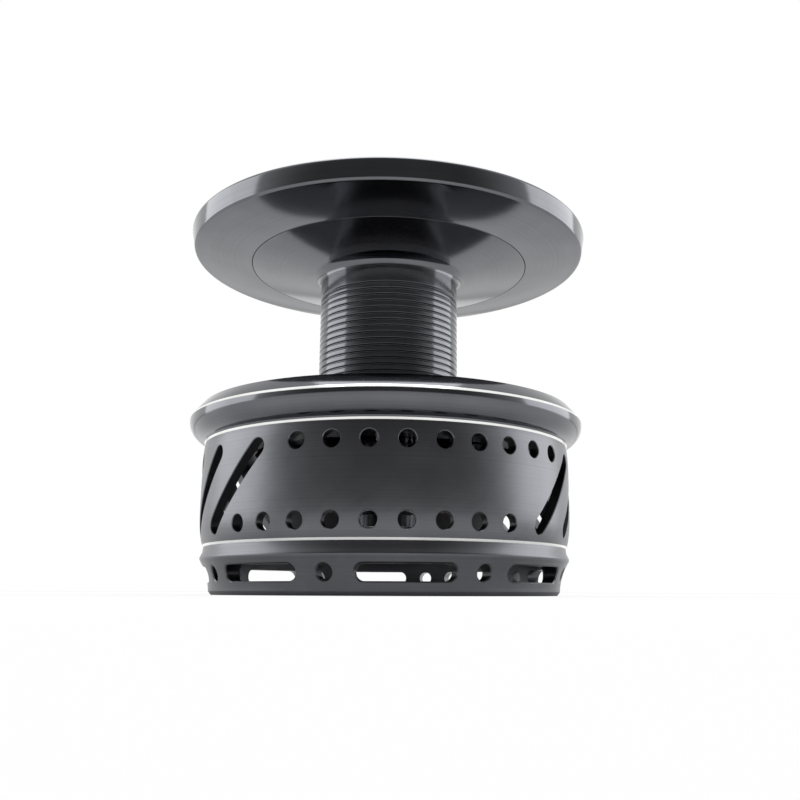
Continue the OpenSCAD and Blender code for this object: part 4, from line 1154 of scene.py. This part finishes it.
class SPOOL_OT_stage(Maker, bpy.types.Operator):
    """Set the pale floor, the soft light and the camera"""

    bl_idname = "spool.stage"
    bl_label = "Studio"

    def execute(self, context):
        studio = context.scene.spool_studio
        self.floor(context, studio)
        self.world(context, studio)
        self.lights(context)
        self.camera(context, studio)
        context.scene.view_settings.view_transform = "Standard"
        return {"FINISHED"}

    def floor(self, context, studio):
        """A round floor at height 0: rings of points at growing radii, the radius a square of the step."""
        radii = studio.floor_radius * np.linspace(0, 1, 12) ** 2
        disc = around(radii[:, None], np.arange(0, 361, 6.0)[None, :], 0.0)
        rows, columns = disc.shape[:2]
        index = np.arange(rows * columns).reshape(rows, columns)
        corners = [index[:-1, :-1], index[1:, :-1], index[1:, 1:], index[:-1, 1:]]
        quads = np.stack(corners, axis=-1).reshape(-1, 4)
        mesh = bpy.data.meshes.new("floor")
        mesh.from_pydata(disc.reshape(-1, 3).tolist(), [], quads.tolist())
        bm = bmesh.new()
        bm.from_mesh(mesh)
        bmesh.ops.remove_doubles(bm, verts=bm.verts, dist=WELD)
        bm.to_mesh(mesh)
        bm.free()
        paper = bpy.data.materials.new("matt white paper")
        paper.use_nodes = True
        tree = paper.node_tree
        tree.nodes.clear()
        path = add(tree, "ShaderNodeLightPath")
        matt = add(tree, "ShaderNodeBsdfDiffuse", {"Color": opaque(linear("#f4f4f4"))})
        white = add(tree, "ShaderNodeEmission", {"Color": (1, 1, 1, 1), "Strength": 1.0})
        seen = add(tree, "ShaderNodeMath", {0: path.outputs["Is Camera Ray"], 1: 0.85}, operation="MULTIPLY")
        mix = add(tree, "ShaderNodeMixShader", {0: seen, 1: matt, 2: white})
        # From below the paper is clear, so that the spool's underside can be looked at
        under = add(tree, "ShaderNodeNewGeometry").outputs["Backfacing"]
        clear = add(tree, "ShaderNodeBsdfTransparent")
        sheet = add(tree, "ShaderNodeMixShader", {0: under, 1: mix, 2: clear})
        add(tree, "ShaderNodeOutputMaterial", {"Surface": sheet})
        mesh.materials.append(paper)
        floor = bpy.data.objects.new("floor", mesh)
        context.scene.collection.objects.link(floor)

    def world(self, context, studio):
        """White where the camera looks, a plain level elsewhere. Metal reflects white at the back and a darker
        room on the camera's side."""
        world = bpy.data.worlds.new("white studio")
        context.scene.world = world
        world.use_nodes = True
        tree = world.node_tree
        tree.nodes.clear()
        path = add(tree, "ShaderNodeLightPath")
        way = add(tree, "ShaderNodeSeparateXYZ", {0: add(tree, "ShaderNodeTexCoord").outputs["Generated"]})
        room = add(
            tree,
            "ShaderNodeMapRange",
            {
                "Value": way.outputs["Y"],
                "From Min": -0.8,
                "From Max": 0.1,
                "To Min": studio.front_level,
                "To Max": 1.0,
            },
            interpolation_type="SMOOTHSTEP",
        )
        mirrored = add(
            tree, "ShaderNodeMix", {0: path.outputs["Is Glossy Ray"], 2: studio.world_level, 3: room}
        )
        seen = add(
            tree,
            "ShaderNodeMath",
            {0: path.outputs["Is Camera Ray"], 1: path.outputs["Is Transmission Ray"]},
            operation="MAXIMUM",
        )
        level = add(tree, "ShaderNodeMix", {0: seen, 2: mirrored.outputs[0], 3: 1.0})
        back = add(tree, "ShaderNodeBackground", {"Color": (1, 1, 1, 1), "Strength": level.outputs[0]})
        add(tree, "ShaderNodeOutputWorld", {"Surface": back})

    def lights(self, context):
        """Soft boxes: overhead, left and right. Each faces the middle of the spool."""
        boxes = (
            ("top box", (0.0, 0.1, 0.75), 0.6, 3.0),
            ("left box", (-0.7, 0.1, 0.2), 0.6, 2.0),
            ("right box", (0.7, 0.15, 0.2), 0.6, 2.0),
        )
        middle = (np.array(cad_box[0]) + np.array(cad_box[1])) / 2
        for name, spot, size, power in boxes:
            light = bpy.data.lights.new(name, "AREA")
            light.size, light.energy = size, power
            box = bpy.data.objects.new(name, light)
            back = np.array(spot) - middle
            back /= np.linalg.norm(back)
            side = np.cross((0, 0, 1) if abs(back[2]) < 0.95 else (0, 1, 0), back)
            side /= np.linalg.norm(side)
            box.matrix_world = placed(side, np.cross(back, side), back, spot)
            context.scene.collection.objects.link(box)

    def camera(self, context, studio):
        """The camera stands low in front, turned, tilted up and rolled a little."""
        turn, tilt, roll = studio.camera_turn, studio.camera_tilt, studio.camera_roll
        ahead = np.array([math.sin(turn) * math.cos(tilt), math.cos(turn) * math.cos(tilt), math.sin(tilt)])
        right = np.array([math.cos(turn), -math.sin(turn), 0.0])
        up = np.cross(right, ahead)
        lens = bpy.data.cameras.new("studio camera")
        lens.sensor_width, lens.lens = 36.0, studio.lens
        lens.shift_x, lens.shift_y = -0.033, 0.0019
        lens.clip_start, lens.clip_end = 0.0004, 50.0
        camera = bpy.data.objects.new("studio camera", lens)
        side = math.cos(roll) * right + math.sin(roll) * up
        top = math.cos(roll) * up - math.sin(roll) * right
        camera.matrix_world = placed(side, top, -ahead, (0.0, -studio.camera_distance, studio.camera_height))
        context.scene.collection.objects.link(camera)
        context.scene.camera = camera


def placed(x, y, z, origin):
    """Matrix of an object whose axes are x, y and z and whose origin is given."""
    rows = np.eye(4)
    rows[:3, 0], rows[:3, 1], rows[:3, 2], rows[:3, 3] = x, y, z, origin
    return Matrix(rows.tolist())


# ---- Add-on ----


class SPOOL_PT_panel(bpy.types.Panel):
    """Lists the makers and the sizes they read"""

    bl_idname = "SPOOL_PT_panel"
    bl_label = "Reel spool"
    bl_space_type = "VIEW_3D"
    bl_region_type = "UI"
    bl_category = "Spool"

    def draw(self, context):
        for maker in MAKERS:
            self.layout.operator(maker.bl_idname)
        for group in GROUPS:
            box = self.layout.box()
            box.label(text=GROUPS[group].__doc__)
            for name in GROUPS[group].__annotations__:
                box.prop(getattr(context.scene, group), name)


GROUPS = {
    "spool_levels": SpoolLevels,
    "spool_body": BodySizes,
    "spool_skirt": SkirtSizes,
    "spool_lip": LipSizes,
    "spool_finishes": Finishes,
    "spool_studio": Studio,
}
MAKERS = (
    SPOOL_OT_body,
    SPOOL_OT_skirt,
    SPOOL_OT_lip_ring,
    SPOOL_OT_fasteners,
    SPOOL_OT_bearings,
    SPOOL_OT_drag,
    SPOOL_OT_sleeve,
    SPOOL_OT_stage,
)


def register():
    for group in (*GROUPS.values(), *MAKERS, SPOOL_PT_panel):
        bpy.utils.register_class(group)
    for name, group in GROUPS.items():
        setattr(bpy.types.Scene, name, PointerProperty(type=group))


def unregister():
    for name in GROUPS:
        delattr(bpy.types.Scene, name)
    for group in reversed((*GROUPS.values(), *MAKERS, SPOOL_PT_panel)):
        bpy.utils.unregister_class(group)


def main():
    register()
    for maker in MAKERS:
        family, name = maker.bl_idname.split(".")
        getattr(getattr(bpy.ops, family), name)()


if __name__ == "__main__":
    main()
